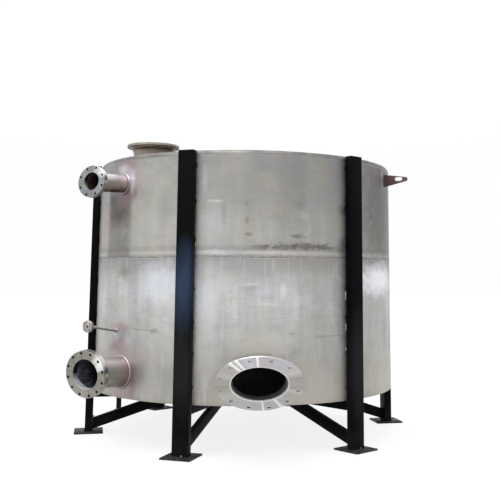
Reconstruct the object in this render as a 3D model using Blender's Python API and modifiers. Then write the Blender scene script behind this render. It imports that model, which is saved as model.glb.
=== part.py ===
"""Upright stainless steel storage tank carried by six black steel legs.

Units are metres and +Z is up. The tank stands on the plane z = 0. An azimuth is in degrees,
counted from -Y (the front of the tank) towards +X.
"""
import math

import bmesh
import bpy
from mathutils import Matrix, Vector

# Clearance left between two pieces that touch on the real tank
GAP = 0.0003
# Flat sides on a full turn of the big round plates
BIG_STEPS = 72

# Shell, bottom and roof
R_OUT = 1.200
SHELL_T = 0.005
R_IN = R_OUT - SHELL_T
R_FLAT = R_OUT * math.cos(math.pi / BIG_STEPS)
Z_BOTTOM = 0.340
Z_SEAM = 1.344
Z_ROOF_SEAM = 2.057
Z_RIM = 2.097
BOTTOM_T = 0.006
ROOF_T = 0.005
ROOF_KNUCKLE_R = 0.030
ROOF_SLOPE = 5.0
SHEETS_PER_COURSE = 3

# Legs, feet and underframe
LEG_COUNT = 6
FIRST_LEG_AZIMUTH = -79.74
LEG_PITCH = 360.0 / LEG_COUNT
LEG_WIDTH = 0.120
LEG_DEPTH = 0.060
LEG_WALL = 0.005
LEG_CORNER_R = 0.006
LEG_TOP = 2.092
FOOT_SIDE = 0.220
FOOT_T = 0.012
BEAM_WIDTH = 0.040
BEAM_DEPTH = 0.075
BRACE_WIDTH = 0.040
BRACE_HEIGHT_ALONG_LEG = 0.083
BRACE_START_Z = 0.024
BRACE_RISE = 0.3195
FRAME_WALL = 0.004

# Sloping discharge mouth at the foot of the front wall
MOUTH_X = 0.104
MOUTH_REACH = 1.420
MOUTH_Z = 0.508
MOUTH_TILT = 48.5
MOUTH_BORE_R = 0.188
MOUTH_WALL = 0.006
MOUTH_FLANGE_R = 0.300
MOUTH_FLANGE_T = 0.010
MOUTH_BOLT_R = 0.2635
MOUTH_BOLT_HOLE_R = 0.012
MOUTH_BOLTS = 12

# Port on the roof
PORT_X = -0.805
PORT_Y = 0.124
PORT_TOP = 2.328
PORT_NECK_BASE = 2.085
PORT_PIPE_R = 0.15925
PORT_WALL = 0.006
PORT_FLANGE_R = 0.2225
PORT_FLANGE_T = 0.024
PORT_BOLT_R = 0.200
PORT_BOLT_HOLE_R = 0.0125
PORT_BOLTS = 16

# Bracket on the right of the shell
EAR_AZIMUTH = FIRST_LEG_AZIMUTH + 147.5
EAR_T = 0.012
EAR_LENGTH = 0.183
EAR_ROOT_LOW = 1.924
EAR_ROOT_HIGH = 2.023
EAR_TIP_LOW = 1.968
EAR_TIP_HIGH = 1.999
EAR_SLOT_AT = 0.112
EAR_SLOT_Z = 1.986
EAR_SLOT_LENGTH = 0.060
EAR_SLOT_HEIGHT = 0.030

# Ladder at the back left
LADDER_AZIMUTH = -118.0
LADDER_REACH = 1.400
LADDER_HALF_WIDTH = 0.205
LADDER_TOP = 2.085
STILE_DEPTH = 0.050
STILE_T = 0.010
RUNG_R = 0.011
RUNG_PITCH = 0.300
RUNG_COUNT = 6
LADDER_FOOT_SIDE = 0.058
LADDER_FOOT_T = 0.008
BRACKET_HEIGHTS = (0.720, 1.860)
BRACKET_HEIGHT = 0.040
BRACKET_T = 0.008

# Colours as linear RGB, with metallic and roughness
FINISHES = {
    "stainless_sheet": ((0.50, 0.50, 0.48), 1.0, 0.38),
    "turned_stainless": ((0.62, 0.62, 0.60), 1.0, 0.28),
    "black_paint": ((0.012, 0.012, 0.014), 0.0, 0.42),
    "dark_plate": ((0.030, 0.032, 0.032), 0.0, 0.55),
    "stained_steel": ((0.30, 0.16, 0.14), 0.6, 0.50),
}


def clear_scene():
    for obj in list(bpy.data.objects):
        bpy.data.objects.remove(obj, do_unlink=True)


def new_collection(name):
    collection = bpy.data.collections.new(name)
    bpy.context.scene.collection.children.link(collection)
    return collection


def radial(azimuth, radius=0.0, z=0.0):
    """Frame whose +X points away from the tank's axis at this azimuth, with +Z up."""
    turn = Matrix.Rotation(math.radians(azimuth - 90.0), 4, "Z")
    return turn @ Matrix.Translation((radius, 0.0, z))


def axis_frame(origin, direction, side):
    """Frame whose +Z lies along direction and whose +X lies along side."""
    z = Vector(direction).normalized()
    x = Vector(side).normalized()
    y = z.cross(x)
    frame = Matrix((x, y, z)).transposed().to_4x4()
    frame.translation = Vector(origin)
    return frame


def heading_vector(azimuth):
    angle = math.radians(azimuth)
    return Vector((math.sin(angle), -math.cos(angle), 0.0))


def heading_frame(origin, heading, rise):
    """Frame whose +Z points at this heading, raised by rise degrees, with a level +X."""
    angle = math.radians(rise)
    direction = heading_vector(heading) * math.cos(angle) + Vector((0.0, 0.0, math.sin(angle)))
    return axis_frame(origin, direction, heading_vector(heading + 90.0))


def new_object(name, mesh, collection):
    obj = bpy.data.objects.new(name, mesh)
    collection.objects.link(obj)
    return obj


def finish_bmesh(bm, name):
    bmesh.ops.recalc_face_normals(bm, faces=bm.faces)
    mesh = bpy.data.meshes.new(name)
    bm.to_mesh(mesh)
    bm.free()
    return mesh


def box(name, size, collection, centre=(0.0, 0.0, 0.0)):
    bm = bmesh.new()
    bmesh.ops.create_cube(bm, size=1.0)
    bmesh.ops.scale(bm, vec=size, verts=bm.verts)
    bmesh.ops.translate(bm, vec=centre, verts=bm.verts)
    return new_object(name, finish_bmesh(bm, name), collection)


def cylinder(name, radius, z_low, z_high, collection, sides=48):
    bm = bmesh.new()
    bmesh.ops.create_cone(bm, cap_ends=True, segments=sides, radius1=radius, radius2=radius,
                          depth=z_high - z_low)
    bmesh.ops.translate(bm, vec=(0.0, 0.0, (z_low + z_high) / 2), verts=bm.verts)
    return new_object(name, finish_bmesh(bm, name), collection)


def circle_points(radius, count, centre=(0.0, 0.0), squash=1.0):
    points = []
    for step in range(count):
        angle = 2 * math.pi * step / count
        points.append((centre[0] + radius * math.cos(angle),
                       centre[1] + squash * radius * math.sin(angle)))
    return points


def plate_mesh(name, outlines, thickness):
    """Flat plate in the XY plane from z = -thickness to z = 0; inner outlines become holes."""
    curve = bpy.data.curves.new(name, "CURVE")
    curve.dimensions = "2D"
    curve.fill_mode = "BOTH"
    curve.extrude = thickness / 2
    for outline in outlines:
        spline = curve.splines.new("POLY")
        spline.points.add(len(outline) - 1)
        for point, (x, y) in zip(spline.points, outline):
            point.co = (x, y, 0.0, 1.0)
        spline.use_cyclic_u = True
    guide = bpy.data.objects.new(name + "_outline", curve)
    bpy.context.scene.collection.objects.link(guide)
    depsgraph = bpy.context.evaluated_depsgraph_get()
    mesh = bpy.data.meshes.new_from_object(guide.evaluated_get(depsgraph))
    bpy.data.objects.remove(guide, do_unlink=True)
    bm = bmesh.new()
    bm.from_mesh(mesh)
    bmesh.ops.remove_doubles(bm, verts=bm.verts, dist=0.00001)
    bmesh.ops.translate(bm, vec=(0.0, 0.0, -thickness / 2), verts=bm.verts)
    bmesh.ops.recalc_face_normals(bm, faces=bm.faces)
    bm.to_mesh(mesh)
    bm.free()
    mesh.name = name
    return mesh


def plate(name, outlines, thickness, collection):
    return new_object(name, plate_mesh(name, outlines, thickness), collection)


def finish_material(name):
    colour, metallic, roughness = FINISHES[name]
    material = bpy.data.materials.new(name)
    material.use_nodes = True
    shader = material.node_tree.nodes["Principled BSDF"]
    shader.inputs["Base Color"].default_value = (*colour, 1.0)
    shader.inputs["Metallic"].default_value = metallic
    shader.inputs["Roughness"].default_value = roughness
    material.diffuse_color = (*colour, 1.0)
    return material


def dress(obj, material_name):
    """Give one piece a material of its own, named for the piece."""
    material = finish_material(material_name)
    material.name = obj.name + "_finish"
    obj.data.materials.clear()
    obj.data.materials.append(material)


def shade_round(obj, angle=35.0):
    obj.data.shade_smooth()
    obj.data.set_sharp_from_angle(angle=math.radians(angle))


def hide_cutter(cutter):
    cutter.hide_render = True
    cutter.display_type = "WIRE"


def cut(target, cutter):
    hide_cutter(cutter)
    modifier = target.modifiers.new("cut_" + cutter.name, "BOOLEAN")
    modifier.operation = "DIFFERENCE"
    modifier.solver = "EXACT"
    modifier.object = cutter


def fuse(target, pieces):
    """Join pieces that overlap the target into it, and remove them."""
    for piece in pieces:
        modifier = target.modifiers.new("fuse_" + piece.name, "BOOLEAN")
        modifier.operation = "UNION"
        modifier.solver = "EXACT"
        modifier.object = piece
        depsgraph = bpy.context.evaluated_depsgraph_get()
        mesh = bpy.data.meshes.new_from_object(target.evaluated_get(depsgraph))
        target.modifiers.clear()
        target.data = mesh
        bpy.data.objects.remove(piece, do_unlink=True)
    target.data.name = target.name


def add_solidify(obj, thickness):
    modifier = obj.modifiers.new("wall", "SOLIDIFY")
    modifier.thickness = thickness
    modifier.offset = -1.0
    modifier.use_even_offset = True


def add_screw(obj, degrees, steps):
    modifier = obj.modifiers.new("turn", "SCREW")
    modifier.axis = "Z"
    modifier.angle = math.radians(degrees)
    modifier.steps = steps
    modifier.render_steps = steps
    modifier.use_merge_vertices = True
    modifier.merge_threshold = 0.0001


def profile_object(name, points, collection):
    """Open line of (radius, z) points in the XZ plane, listed from top to bottom."""
    mesh = bpy.data.meshes.new(name)
    vertices = [(radius, 0.0, z) for radius, z in points]
    edges = [(index, index + 1) for index in range(len(points) - 1)]
    mesh.from_pydata(vertices, edges, [])
    return new_object(name, mesh, collection)


def leg_azimuth(index):
    return FIRST_LEG_AZIMUTH + LEG_PITCH * index


def shell_sheet(name, start_azimuth, z_low, z_high, collection):
    """One rolled sheet: a third of a turn, ending behind a leg at each side."""
    sweep = 360.0 / SHEETS_PER_COURSE
    end_lean = SHELL_T * math.sin(math.pi / BIG_STEPS)
    margin = math.degrees((GAP + 2 * end_lean) / R_OUT)
    obj = profile_object(name, [(R_OUT, z_high), (R_OUT, z_low)], collection)
    add_screw(obj, sweep - margin, BIG_STEPS // SHEETS_PER_COURSE)
    add_solidify(obj, SHELL_T)
    obj.matrix_world = Matrix.Rotation(math.radians(start_azimuth + margin / 2 - 90.0), 4, "Z")
    return obj


def build_shell(collection):
    sheets = {}
    for index in range(SHEETS_PER_COURSE):
        low_name = "lower_shell_sheet_%d" % (index + 1)
        sheets[low_name] = shell_sheet(low_name, leg_azimuth(2 * index), Z_BOTTOM,
                                       Z_SEAM - GAP / 2, collection)
        high_name = "upper_shell_sheet_%d" % (index + 1)
        sheets[high_name] = shell_sheet(high_name, leg_azimuth(2 * index - 1), Z_SEAM + GAP / 2,
                                        Z_ROOF_SEAM - GAP / 2, collection)
    for sheet in sheets.values():
        dress(sheet, "stainless_sheet")
    return sheets


def build_bottom(collection):
    radius = R_IN * math.cos(math.pi / BIG_STEPS) - GAP
    bottom = cylinder("bottom_plate", radius, Z_BOTTOM, Z_BOTTOM + BOTTOM_T, collection, BIG_STEPS)
    bottom.matrix_world = radial(FIRST_LEG_AZIMUTH)
    shade_round(bottom)
    dress(bottom, "stainless_sheet")


def roof_profile():
    """Crown to skirt: a shallow cone, a small knuckle and a short upright skirt."""
    slope = math.radians(ROOF_SLOPE)
    bend_r = R_OUT - ROOF_KNUCKLE_R
    bend_z = Z_RIM - ROOF_KNUCKLE_R
    points = []
    for step in range(4):
        angle = math.pi / 2 - slope - (math.pi / 2 - slope) * step / 3
        points.append((bend_r + ROOF_KNUCKLE_R * math.cos(angle),
                       bend_z + ROOF_KNUCKLE_R * math.sin(angle)))
    edge_r, edge_z = points[0]
    crown = (0.0, edge_z + edge_r * math.tan(slope))
    return [crown] + points + [(R_OUT, Z_ROOF_SEAM + GAP / 2)]


def build_roof(collection, cutters):
    roof = profile_object("roof", roof_profile(), collection)
    add_screw(roof, 360.0, BIG_STEPS)
    add_solidify(roof, ROOF_T)
    roof.matrix_world = radial(FIRST_LEG_AZIMUTH)
    hole = cylinder("roof_port_hole_cutter", PORT_PIPE_R + GAP, Z_RIM - 0.2, Z_RIM + 0.4, cutters)
    hole.matrix_world = Matrix.Translation((PORT_X, PORT_Y, 0.0))
    cut(roof, hole)
    dress(roof, "stainless_sheet")


def build_leg(index, collection):
    """Box section with a capped top, open at the foot."""
    name = "leg_%d" % (index + 1)
    low = FOOT_T + GAP
    bm = bmesh.new()
    bmesh.ops.create_cube(bm, size=1.0)
    bmesh.ops.scale(bm, vec=(LEG_DEPTH, LEG_WIDTH, LEG_TOP - low), verts=bm.verts)
    bmesh.ops.translate(bm, vec=(0.0, 0.0, (LEG_TOP + low) / 2), verts=bm.verts)
    upright = [e for e in bm.edges if abs(e.verts[0].co.z - e.verts[1].co.z) > LEG_WIDTH]
    bmesh.ops.bevel(bm, geom=upright, offset=LEG_CORNER_R, segments=2, profile=0.5,
                    affect="EDGES", material=-1)
    under = [f for f in bm.faces if f.normal.z < -0.9]
    bmesh.ops.delete(bm, geom=under, context="FACES")
    leg = new_object(name, finish_bmesh(bm, name), collection)
    add_solidify(leg, LEG_WALL)
    leg.matrix_world = radial(leg_azimuth(index), R_OUT + GAP + LEG_DEPTH / 2)
    dress(leg, "black_paint")


def build_foot(index, collection):
    name = "foot_plate_%d" % (index + 1)
    foot = box(name, (FOOT_SIDE, FOOT_SIDE, FOOT_T), collection, (0.0, 0.0, FOOT_T / 2))
    foot.matrix_world = radial(leg_azimuth(index), R_OUT + GAP + LEG_DEPTH / 2)
    dress(foot, "dark_plate")


def beam_outline():
    """Plan of one radial beam: the inner end is a point that meets its five neighbours."""
    half = BEAM_WIDTH / 2
    tip = 2 * GAP
    shoulder = half / math.tan(math.pi / LEG_COUNT) + tip
    return [(tip, 0.0), (shoulder, -half), (R_OUT, -half), (R_OUT, half), (shoulder, half)]


def build_beam(index, collection, cutters):
    name = "radial_beam_%d" % (index + 1)
    beam = plate(name, [beam_outline()], BEAM_DEPTH - GAP, collection)
    hollow_length = R_OUT - 0.1
    hollow = box(name + "_cutter", (hollow_length, BEAM_WIDTH - 2 * FRAME_WALL,
                                    BEAM_DEPTH - GAP - 2 * FRAME_WALL), cutters,
                 (0.15 + hollow_length / 2, 0.0, -(BEAM_DEPTH - GAP) / 2))
    frame = radial(leg_azimuth(index), 0.0, Z_BOTTOM - GAP)
    beam.matrix_world = frame
    hollow.matrix_world = frame
    cut(beam, hollow)
    dress(beam, "black_paint")


def brace_outline(inset, overrun):
    """Side view of a brace as (radius, z), cut upright at the leg and level under the beam."""
    top = Z_BOTTOM - BEAM_DEPTH - GAP + overrun
    outer = R_OUT + overrun
    shift = inset * math.sqrt(1.0 + BRACE_RISE ** 2)
    low = BRACE_START_Z + shift - BRACE_RISE * overrun
    high = BRACE_START_Z + BRACE_HEIGHT_ALONG_LEG - shift - BRACE_RISE * overrun
    return [(outer, low), (outer, high), (outer - (top - high) / BRACE_RISE, top),
            (outer - (top - low) / BRACE_RISE, top)]


def build_brace(index, collection, cutters):
    name = "brace_%d" % (index + 1)
    brace = plate(name, [brace_outline(0.0, 0.0)], BRACE_WIDTH, collection)
    hollow = plate(name + "_cutter", [brace_outline(FRAME_WALL, 0.05)],
                   BRACE_WIDTH - 2 * FRAME_WALL, cutters)
    stand_up = Matrix.Rotation(math.radians(90.0), 4, "X")
    frame = radial(leg_azimuth(index))
    brace.matrix_world = frame @ stand_up @ Matrix.Translation((0.0, 0.0, BRACE_WIDTH / 2))
    hollow_half = BRACE_WIDTH / 2 - FRAME_WALL
    hollow.matrix_world = frame @ stand_up @ Matrix.Translation((0.0, 0.0, hollow_half))
    cut(brace, hollow)
    dress(brace, "black_paint")


def flange(name, outer_r, bore_r, bolt_r, bolts, hole_r, first_hole, thickness, collection):
    """Flat ring with its sealing face at z = 0, facing +Z. first_hole is in degrees from +X."""
    outlines = [circle_points(outer_r, 64), circle_points(bore_r, 48)]
    for number in range(bolts):
        angle = math.radians(first_hole + 360.0 * number / bolts)
        centre = (bolt_r * math.cos(angle), bolt_r * math.sin(angle))
        outlines.append(circle_points(hole_r, 12, centre))
    ring = plate(name, outlines, thickness, collection)
    shade_round(ring)
    dress(ring, "turned_stainless")
    return ring


def tube(name, outer_r, inner_r, length, collection, squash=1.0, sides=48):
    """Open pipe along Z from z = -length to z = 0."""
    outlines = [circle_points(outer_r, sides, squash=squash),
                circle_points(inner_r, sides, squash=squash)]
    return plate(name, outlines, length, collection)


def interior_cutter(name, cutters):
    """The space inside the shell, which trims the inner end of a pipe to the wall."""
    radius = R_IN * math.cos(math.pi / BIG_STEPS)
    space = cylinder(name, radius, Z_BOTTOM - 0.2, Z_RIM + 0.2, cutters, BIG_STEPS)
    hide_cutter(space)
    return space


def side_nozzle(spec, sheet, space, collection, cutters):
    """Pipe through the wall, sliced off at the back of a flange that faces further round."""
    name = spec["name"]
    reach = spec["reach"]
    root = heading_vector(spec["azimuth"]) * R_OUT + Vector((0.0, 0.0, spec["z"]))
    at_root = heading_frame(root, spec["pipe_heading"], spec["pipe_rise"])
    end = at_root @ Vector((0.0, 0.0, reach))
    at_back = heading_frame(end, spec["face_heading"], spec["face_rise"])
    overrun = 2.0 * spec["flange_t"]
    pipe = tube(name + "_pipe", spec["pipe_r"], spec["pipe_r"] - spec["wall"],
                reach + overrun + 0.25, collection, sides=spec["sides"])
    pipe.matrix_world = at_root @ Matrix.Translation((0.0, 0.0, reach + overrun))
    slope = box(name + "_slope_cutter", (0.5, 0.5, 0.3), cutters, (0.0, 0.0, 0.15 - GAP))
    slope.matrix_world = at_back
    cut(pipe, slope)
    cut(pipe, space)
    shade_round(pipe)
    dress(pipe, "stainless_sheet")
    hole = cylinder(name + "_hole_cutter", spec["pipe_r"] + GAP, -0.3, reach, cutters,
                    spec["sides"])
    hole.matrix_world = at_root
    cut(sheet, hole)
    ring = flange(name + "_flange", spec["flange_r"], spec["bore_r"], spec["bolt_r"],
                  spec["bolts"], spec["hole_r"], spec["first_hole"], spec["flange_t"],
                  collection)
    ring.matrix_world = at_back @ Matrix.Translation((0.0, 0.0, spec["flange_t"]))


SIDE_NOZZLES = (
    dict(name="lower_inlet", sheet="lower_shell_sheet_1", azimuth=-47.6, z=0.5224, reach=0.2735,
         pipe_heading=-43.5, pipe_rise=3.31, pipe_r=0.106, wall=0.004, sides=48,
         face_heading=-26.5, face_rise=-8.0, flange_t=0.050, flange_r=0.164, bore_r=0.104,
         bolt_r=0.1475, bolts=12, hole_r=0.010, first_hole=9.0),
    dict(name="upper_inlet", sheet="upper_shell_sheet_1", azimuth=-49.3, z=1.890, reach=0.2662,
         pipe_heading=-44.0, pipe_rise=-2.42, pipe_r=0.0665, wall=0.003, sides=48,
         face_heading=-27.5, face_rise=4.5, flange_t=0.038, flange_r=0.116, bore_r=0.065,
         bolt_r=0.1015, bolts=8, hole_r=0.009, first_hole=26.0),
    dict(name="sample_branch", sheet="lower_shell_sheet_1", azimuth=-51.4, z=0.811, reach=0.2416,
         pipe_heading=-44.0, pipe_rise=9.58, pipe_r=0.0095, wall=0.0015, sides=16,
         face_heading=-30.0, face_rise=-3.5, flange_t=0.024, flange_r=0.0425, bore_r=0.008,
         bolt_r=0.032, bolts=4, hole_r=0.005, first_hole=45.0),
)


def mouth_frame():
    tilt = math.radians(MOUTH_TILT)
    facing = (0.0, -math.cos(tilt), -math.sin(tilt))
    return axis_frame((MOUTH_X, -MOUTH_REACH, MOUTH_Z), facing, (1.0, 0.0, 0.0))


def build_mouth(sheet, space, collection, cutters):
    """Level oval duct whose outer end is sliced on a slope and closed by a round flange."""
    squash = math.cos(math.radians(MOUTH_TILT))
    outer_r = MOUTH_BORE_R + MOUTH_WALL
    level = axis_frame((MOUTH_X, -MOUTH_REACH - MOUTH_FLANGE_R, MOUTH_Z), (0.0, -1.0, 0.0),
                       (1.0, 0.0, 0.0))
    length = MOUTH_REACH + MOUTH_FLANGE_R - R_OUT + 0.12
    duct = tube("front_mouth_duct", outer_r, MOUTH_BORE_R, length, collection, squash)
    duct.matrix_world = level
    front = box("front_mouth_slope_cutter", (1.2, 1.2, 0.8), cutters,
                (0.0, 0.0, 0.4 - MOUTH_FLANGE_T - GAP))
    front.matrix_world = mouth_frame()
    cut(duct, front)
    cut(duct, space)
    shade_round(duct)
    dress(duct, "stainless_sheet")
    hole = plate("front_mouth_hole_cutter", [circle_points(outer_r + GAP, 48, squash=squash)],
                 length, cutters)
    hole.matrix_world = level
    cut(sheet, hole)
    ring = flange("front_mouth_flange", MOUTH_FLANGE_R, MOUTH_BORE_R, MOUTH_BOLT_R, MOUTH_BOLTS,
                  MOUTH_BOLT_HOLE_R, 15.0, MOUTH_FLANGE_T, collection)
    ring.matrix_world = mouth_frame()


def build_port(collection):
    """Short flanged neck that stands upright on the roof."""
    top = axis_frame((PORT_X, PORT_Y, PORT_TOP), (0.0, 0.0, 1.0), (1.0, 0.0, 0.0))
    set_back = 0.004
    neck = tube("roof_port_neck", PORT_PIPE_R, PORT_PIPE_R - PORT_WALL,
                PORT_TOP - set_back - PORT_NECK_BASE, collection)
    neck.matrix_world = top @ Matrix.Translation((0.0, 0.0, -set_back))
    shade_round(neck)
    dress(neck, "stainless_sheet")
    ring = flange("roof_port_flange", PORT_FLANGE_R, PORT_PIPE_R + GAP, PORT_BOLT_R, PORT_BOLTS,
                  PORT_BOLT_HOLE_R, 11.25, PORT_FLANGE_T, collection)
    ring.matrix_world = top


def ear_slot_outline():
    """Round-ended slot."""
    half = EAR_SLOT_HEIGHT / 2
    straight = EAR_SLOT_LENGTH / 2 - half
    points = []
    for side, start in ((1, -90), (-1, 90)):
        for step in range(7):
            angle = math.radians(start + 30 * step)
            points.append((EAR_SLOT_AT + side * straight + half * math.cos(angle),
                           EAR_SLOT_Z + half * math.sin(angle)))
    return points


def build_ear(collection):
    """Tapering upright plate that stands out from the wall."""
    outline = [(0.0, EAR_ROOT_LOW), (EAR_LENGTH - 0.008, EAR_TIP_LOW),
               (EAR_LENGTH, EAR_TIP_LOW + 0.010), (EAR_LENGTH, EAR_TIP_HIGH - 0.008),
               (EAR_LENGTH - 0.006, EAR_TIP_HIGH), (0.0, EAR_ROOT_HIGH)]
    ear = plate("side_ear", [outline, ear_slot_outline()], EAR_T, collection)
    stand_up = Matrix.Rotation(math.radians(90.0), 4, "X")
    to_wall = radial(EAR_AZIMUTH, R_FLAT + GAP)
    ear.matrix_world = to_wall @ stand_up @ Matrix.Translation((0.0, 0.0, EAR_T / 2))
    dress(ear, "stained_steel")


def build_ladder(collection):
    """Two flat stiles with round rungs, small feet and flat wall brackets, welded up as one."""
    pieces = []
    stiles = []
    for side in (-1, 1):
        y = side * LADDER_HALF_WIDTH
        height = LADDER_TOP - LADDER_FOOT_T / 2
        stiles.append(box("stile", (STILE_DEPTH, STILE_T, height), collection,
                          (0.0, y, LADDER_TOP - height / 2)))
        pieces.append(box("ladder_foot", (LADDER_FOOT_SIDE, LADDER_FOOT_SIDE, LADDER_FOOT_T),
                          collection, (0.0, y, LADDER_FOOT_T / 2)))
        near_y = LADDER_HALF_WIDTH - BRACKET_T / 2
        wall_x = math.sqrt(R_FLAT ** 2 - near_y ** 2) + 2 * GAP - LADDER_REACH
        for z in BRACKET_HEIGHTS:
            pieces.append(box("bracket", (-wall_x, BRACKET_T, BRACKET_HEIGHT), collection,
                              (wall_x / 2, y, z)))
    for number in range(RUNG_COUNT):
        z = RUNG_PITCH * (number + 1)
        half = LADDER_HALF_WIDTH + STILE_T / 2 + 0.004
        rung = cylinder("rung", RUNG_R, -half, half, collection, 12)
        rung.matrix_world = Matrix.Translation((0.0, 0.0, z)) @ Matrix.Rotation(
            math.radians(90.0), 4, "X")
        pieces.append(rung)
    ladder = stiles[0]
    ladder.name = "ladder"
    bpy.context.view_layer.update()
    fuse(ladder, [stiles[1]] + pieces)
    ladder.matrix_world = radial(LADDER_AZIMUTH, LADDER_REACH)
    dress(ladder, "black_paint")


def centre_on_footprint(collection, frame):
    """Move everything so that the origin is at the bottom centre of the bounding box."""
    bpy.context.view_layer.update()
    depsgraph = bpy.context.evaluated_depsgraph_get()
    low = Vector((math.inf, math.inf))
    high = Vector((-math.inf, -math.inf))
    for obj in collection.objects:
        if obj.type != "MESH":
            continue
        evaluated = obj.evaluated_get(depsgraph)
        for vertex in evaluated.data.vertices:
            point = evaluated.matrix_world @ vertex.co
            low = Vector((min(low.x, point.x), min(low.y, point.y)))
            high = Vector((max(high.x, point.x), max(high.y, point.y)))
    middle = (low + high) / 2
    frame.location = (-middle.x, -middle.y, 0.0)


def parent_all(collections, frame):
    bpy.context.view_layer.update()
    for collection in collections:
        for obj in collection.objects:
            if obj is frame:
                continue
            world = obj.matrix_world.copy()
            obj.parent = frame
            obj.matrix_world = world


def main():
    clear_scene()
    tank = new_collection("storage_tank")
    cutters = new_collection("cutters")
    frame = bpy.data.objects.new("tank_axis", None)
    tank.objects.link(frame)
    sheets = build_shell(tank)
    build_bottom(tank)
    build_roof(tank, cutters)
    for index in range(LEG_COUNT):
        build_leg(index, tank)
        build_foot(index, tank)
        build_beam(index, tank, cutters)
        build_brace(index, tank, cutters)
    space = interior_cutter("interior_cutter", cutters)
    space.matrix_world = radial(FIRST_LEG_AZIMUTH)
    for spec in SIDE_NOZZLES:
        side_nozzle(spec, sheets[spec["sheet"]], space, tank, cutters)
    build_mouth(sheets["lower_shell_sheet_1"], space, tank, cutters)
    build_port(tank)
    build_ear(tank)
    build_ladder(tank)
    parent_all((tank, cutters), frame)
    centre_on_footprint(tank, frame)
    for sheet in sheets.values():
        shade_round(sheet)


main()
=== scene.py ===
# %% [markdown]
# # A storage tank on six legs
#
# The object is an upright stainless steel tank, 2.4 m across, welded from rolled sheet. It hangs
# between six black painted legs. Flanged nozzles stand out on the left, a wide mouth slopes down at
# the foot of the front wall, and a port stands on the roof.
#
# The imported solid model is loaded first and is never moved. Every new piece is built around it, in
# metres, with +Z up, and takes the place of the solid it stands for.

import math

import bmesh
import bpy
from mathutils import Matrix, Vector


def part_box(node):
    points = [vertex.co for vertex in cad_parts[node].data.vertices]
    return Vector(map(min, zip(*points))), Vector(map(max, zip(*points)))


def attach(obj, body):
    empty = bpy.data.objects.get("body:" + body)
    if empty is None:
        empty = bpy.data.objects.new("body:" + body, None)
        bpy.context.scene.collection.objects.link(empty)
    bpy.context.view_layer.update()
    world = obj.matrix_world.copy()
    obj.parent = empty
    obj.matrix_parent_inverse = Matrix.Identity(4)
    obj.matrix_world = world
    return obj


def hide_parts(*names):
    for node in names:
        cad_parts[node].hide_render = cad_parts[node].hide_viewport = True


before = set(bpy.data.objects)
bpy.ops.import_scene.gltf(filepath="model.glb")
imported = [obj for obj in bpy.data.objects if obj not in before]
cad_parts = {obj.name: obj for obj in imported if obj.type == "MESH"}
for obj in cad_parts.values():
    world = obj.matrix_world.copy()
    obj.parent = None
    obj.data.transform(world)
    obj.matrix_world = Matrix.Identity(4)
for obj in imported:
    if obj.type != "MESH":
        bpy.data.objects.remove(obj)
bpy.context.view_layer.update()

# %% [markdown]
# ## Where things are
#
# The bottom plate is a regular polygon, so the middle of its box is the tank's own axis. Round pieces
# could be placed by x and y, but a tank's drawing gives each nozzle an azimuth, an angle round the
# axis. The same is done here, in degrees from the front (-Y) towards +X, so that each number can be
# checked against such a drawing.

# %% Find the tank's axis and name its sizes
low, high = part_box("bottom_plate")
AXIS = Vector(((low[0] + high[0]) / 2, (low[1] + high[1]) / 2, 0.0))
R_OUT = 1.200
WALL = 0.005
Z_BOTTOM, Z_SEAM, Z_ROOF_SEAM, Z_RIM = 0.340, 1.344, 2.057, 2.097
LEG_AZIMUTHS = [-79.74 + 60.0 * i for i in range(6)]
LEG_WIDTH, LEG_DEPTH, LEG_TOP = 0.120, 0.060, 2.092
# pieces that are welded together stand this far apart, as their solids do
GAP = 0.0003
LEG_RADIUS = R_OUT + LEG_DEPTH / 2 + GAP
print("axis at", [round(c, 4) for c in AXIS])
print("legs at azimuths", [round(azimuth, 2) for azimuth in LEG_AZIMUTHS])


# %% Directions and frames round the tank
def outward(azimuth, radius):
    """Frame this far from the axis whose +X points away from it, with +Z up."""
    turn = Matrix.Rotation(math.radians(azimuth - 90.0), 4, "Z")
    return Matrix.Translation(AXIS) @ turn @ Matrix.Translation((radius, 0.0, 0.0))


def heading(azimuth, rise=0.0):
    """Unit vector towards an azimuth, rising by so many degrees."""
    turn, lift = math.radians(azimuth), math.radians(rise)
    return Vector((math.sin(turn) * math.cos(lift), -math.cos(turn) * math.cos(lift),
                   math.sin(lift)))


UP = Vector((0, 0, 1))


def wall_point(azimuth, z):
    """Point on the outside of the shell."""
    return AXIS + heading(azimuth) * R_OUT + UP * z


def facing(origin, direction):
    """Frame whose +Z looks along direction and whose +X stays level."""
    z = Vector(direction).normalized()
    x = Vector((-z.y, z.x, 0.0)).normalized()
    made = Matrix((x, z.cross(x), z)).transposed().to_4x4()
    made.translation = origin
    return made


print("front of the shell at", [round(c, 4) for c in wall_point(0.0, Z_BOTTOM)])


# %% [markdown]
# ## Small helpers
#
# Most pieces of a tank are round, so they are easiest to shape standing on the Z axis. A piece could
# then be placed by moving its object, but a pattern on Object coordinates would turn with it. Here the
# mesh is carried to its place instead. The object stays at the origin, unturned and unscaled, and
# patterns are true metres on the tank.

# %% Turn a bmesh into a finished piece
SAME_POINT = 0.00001


def finish_piece(bm, name, material, place=None, replaces=(), smooth=35.0):
    """Carry a shape to its place, and give it its finish and the nodes that it stands for."""
    if place is not None:
        bmesh.ops.transform(bm, matrix=place, verts=bm.verts)
    mesh = bpy.data.meshes.new(name)
    bm.to_mesh(mesh)
    bm.free()
    obj = bpy.data.objects.new(name, mesh)
    bpy.context.scene.collection.objects.link(obj)
    for one in material if isinstance(material, list) else [material]:
        mesh.materials.append(one)
    mesh.shade_smooth()
    mesh.set_sharp_from_angle(angle=math.radians(smooth))
    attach(obj, "root")
    if replaces:
        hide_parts(*replaces)
    return obj


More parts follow.
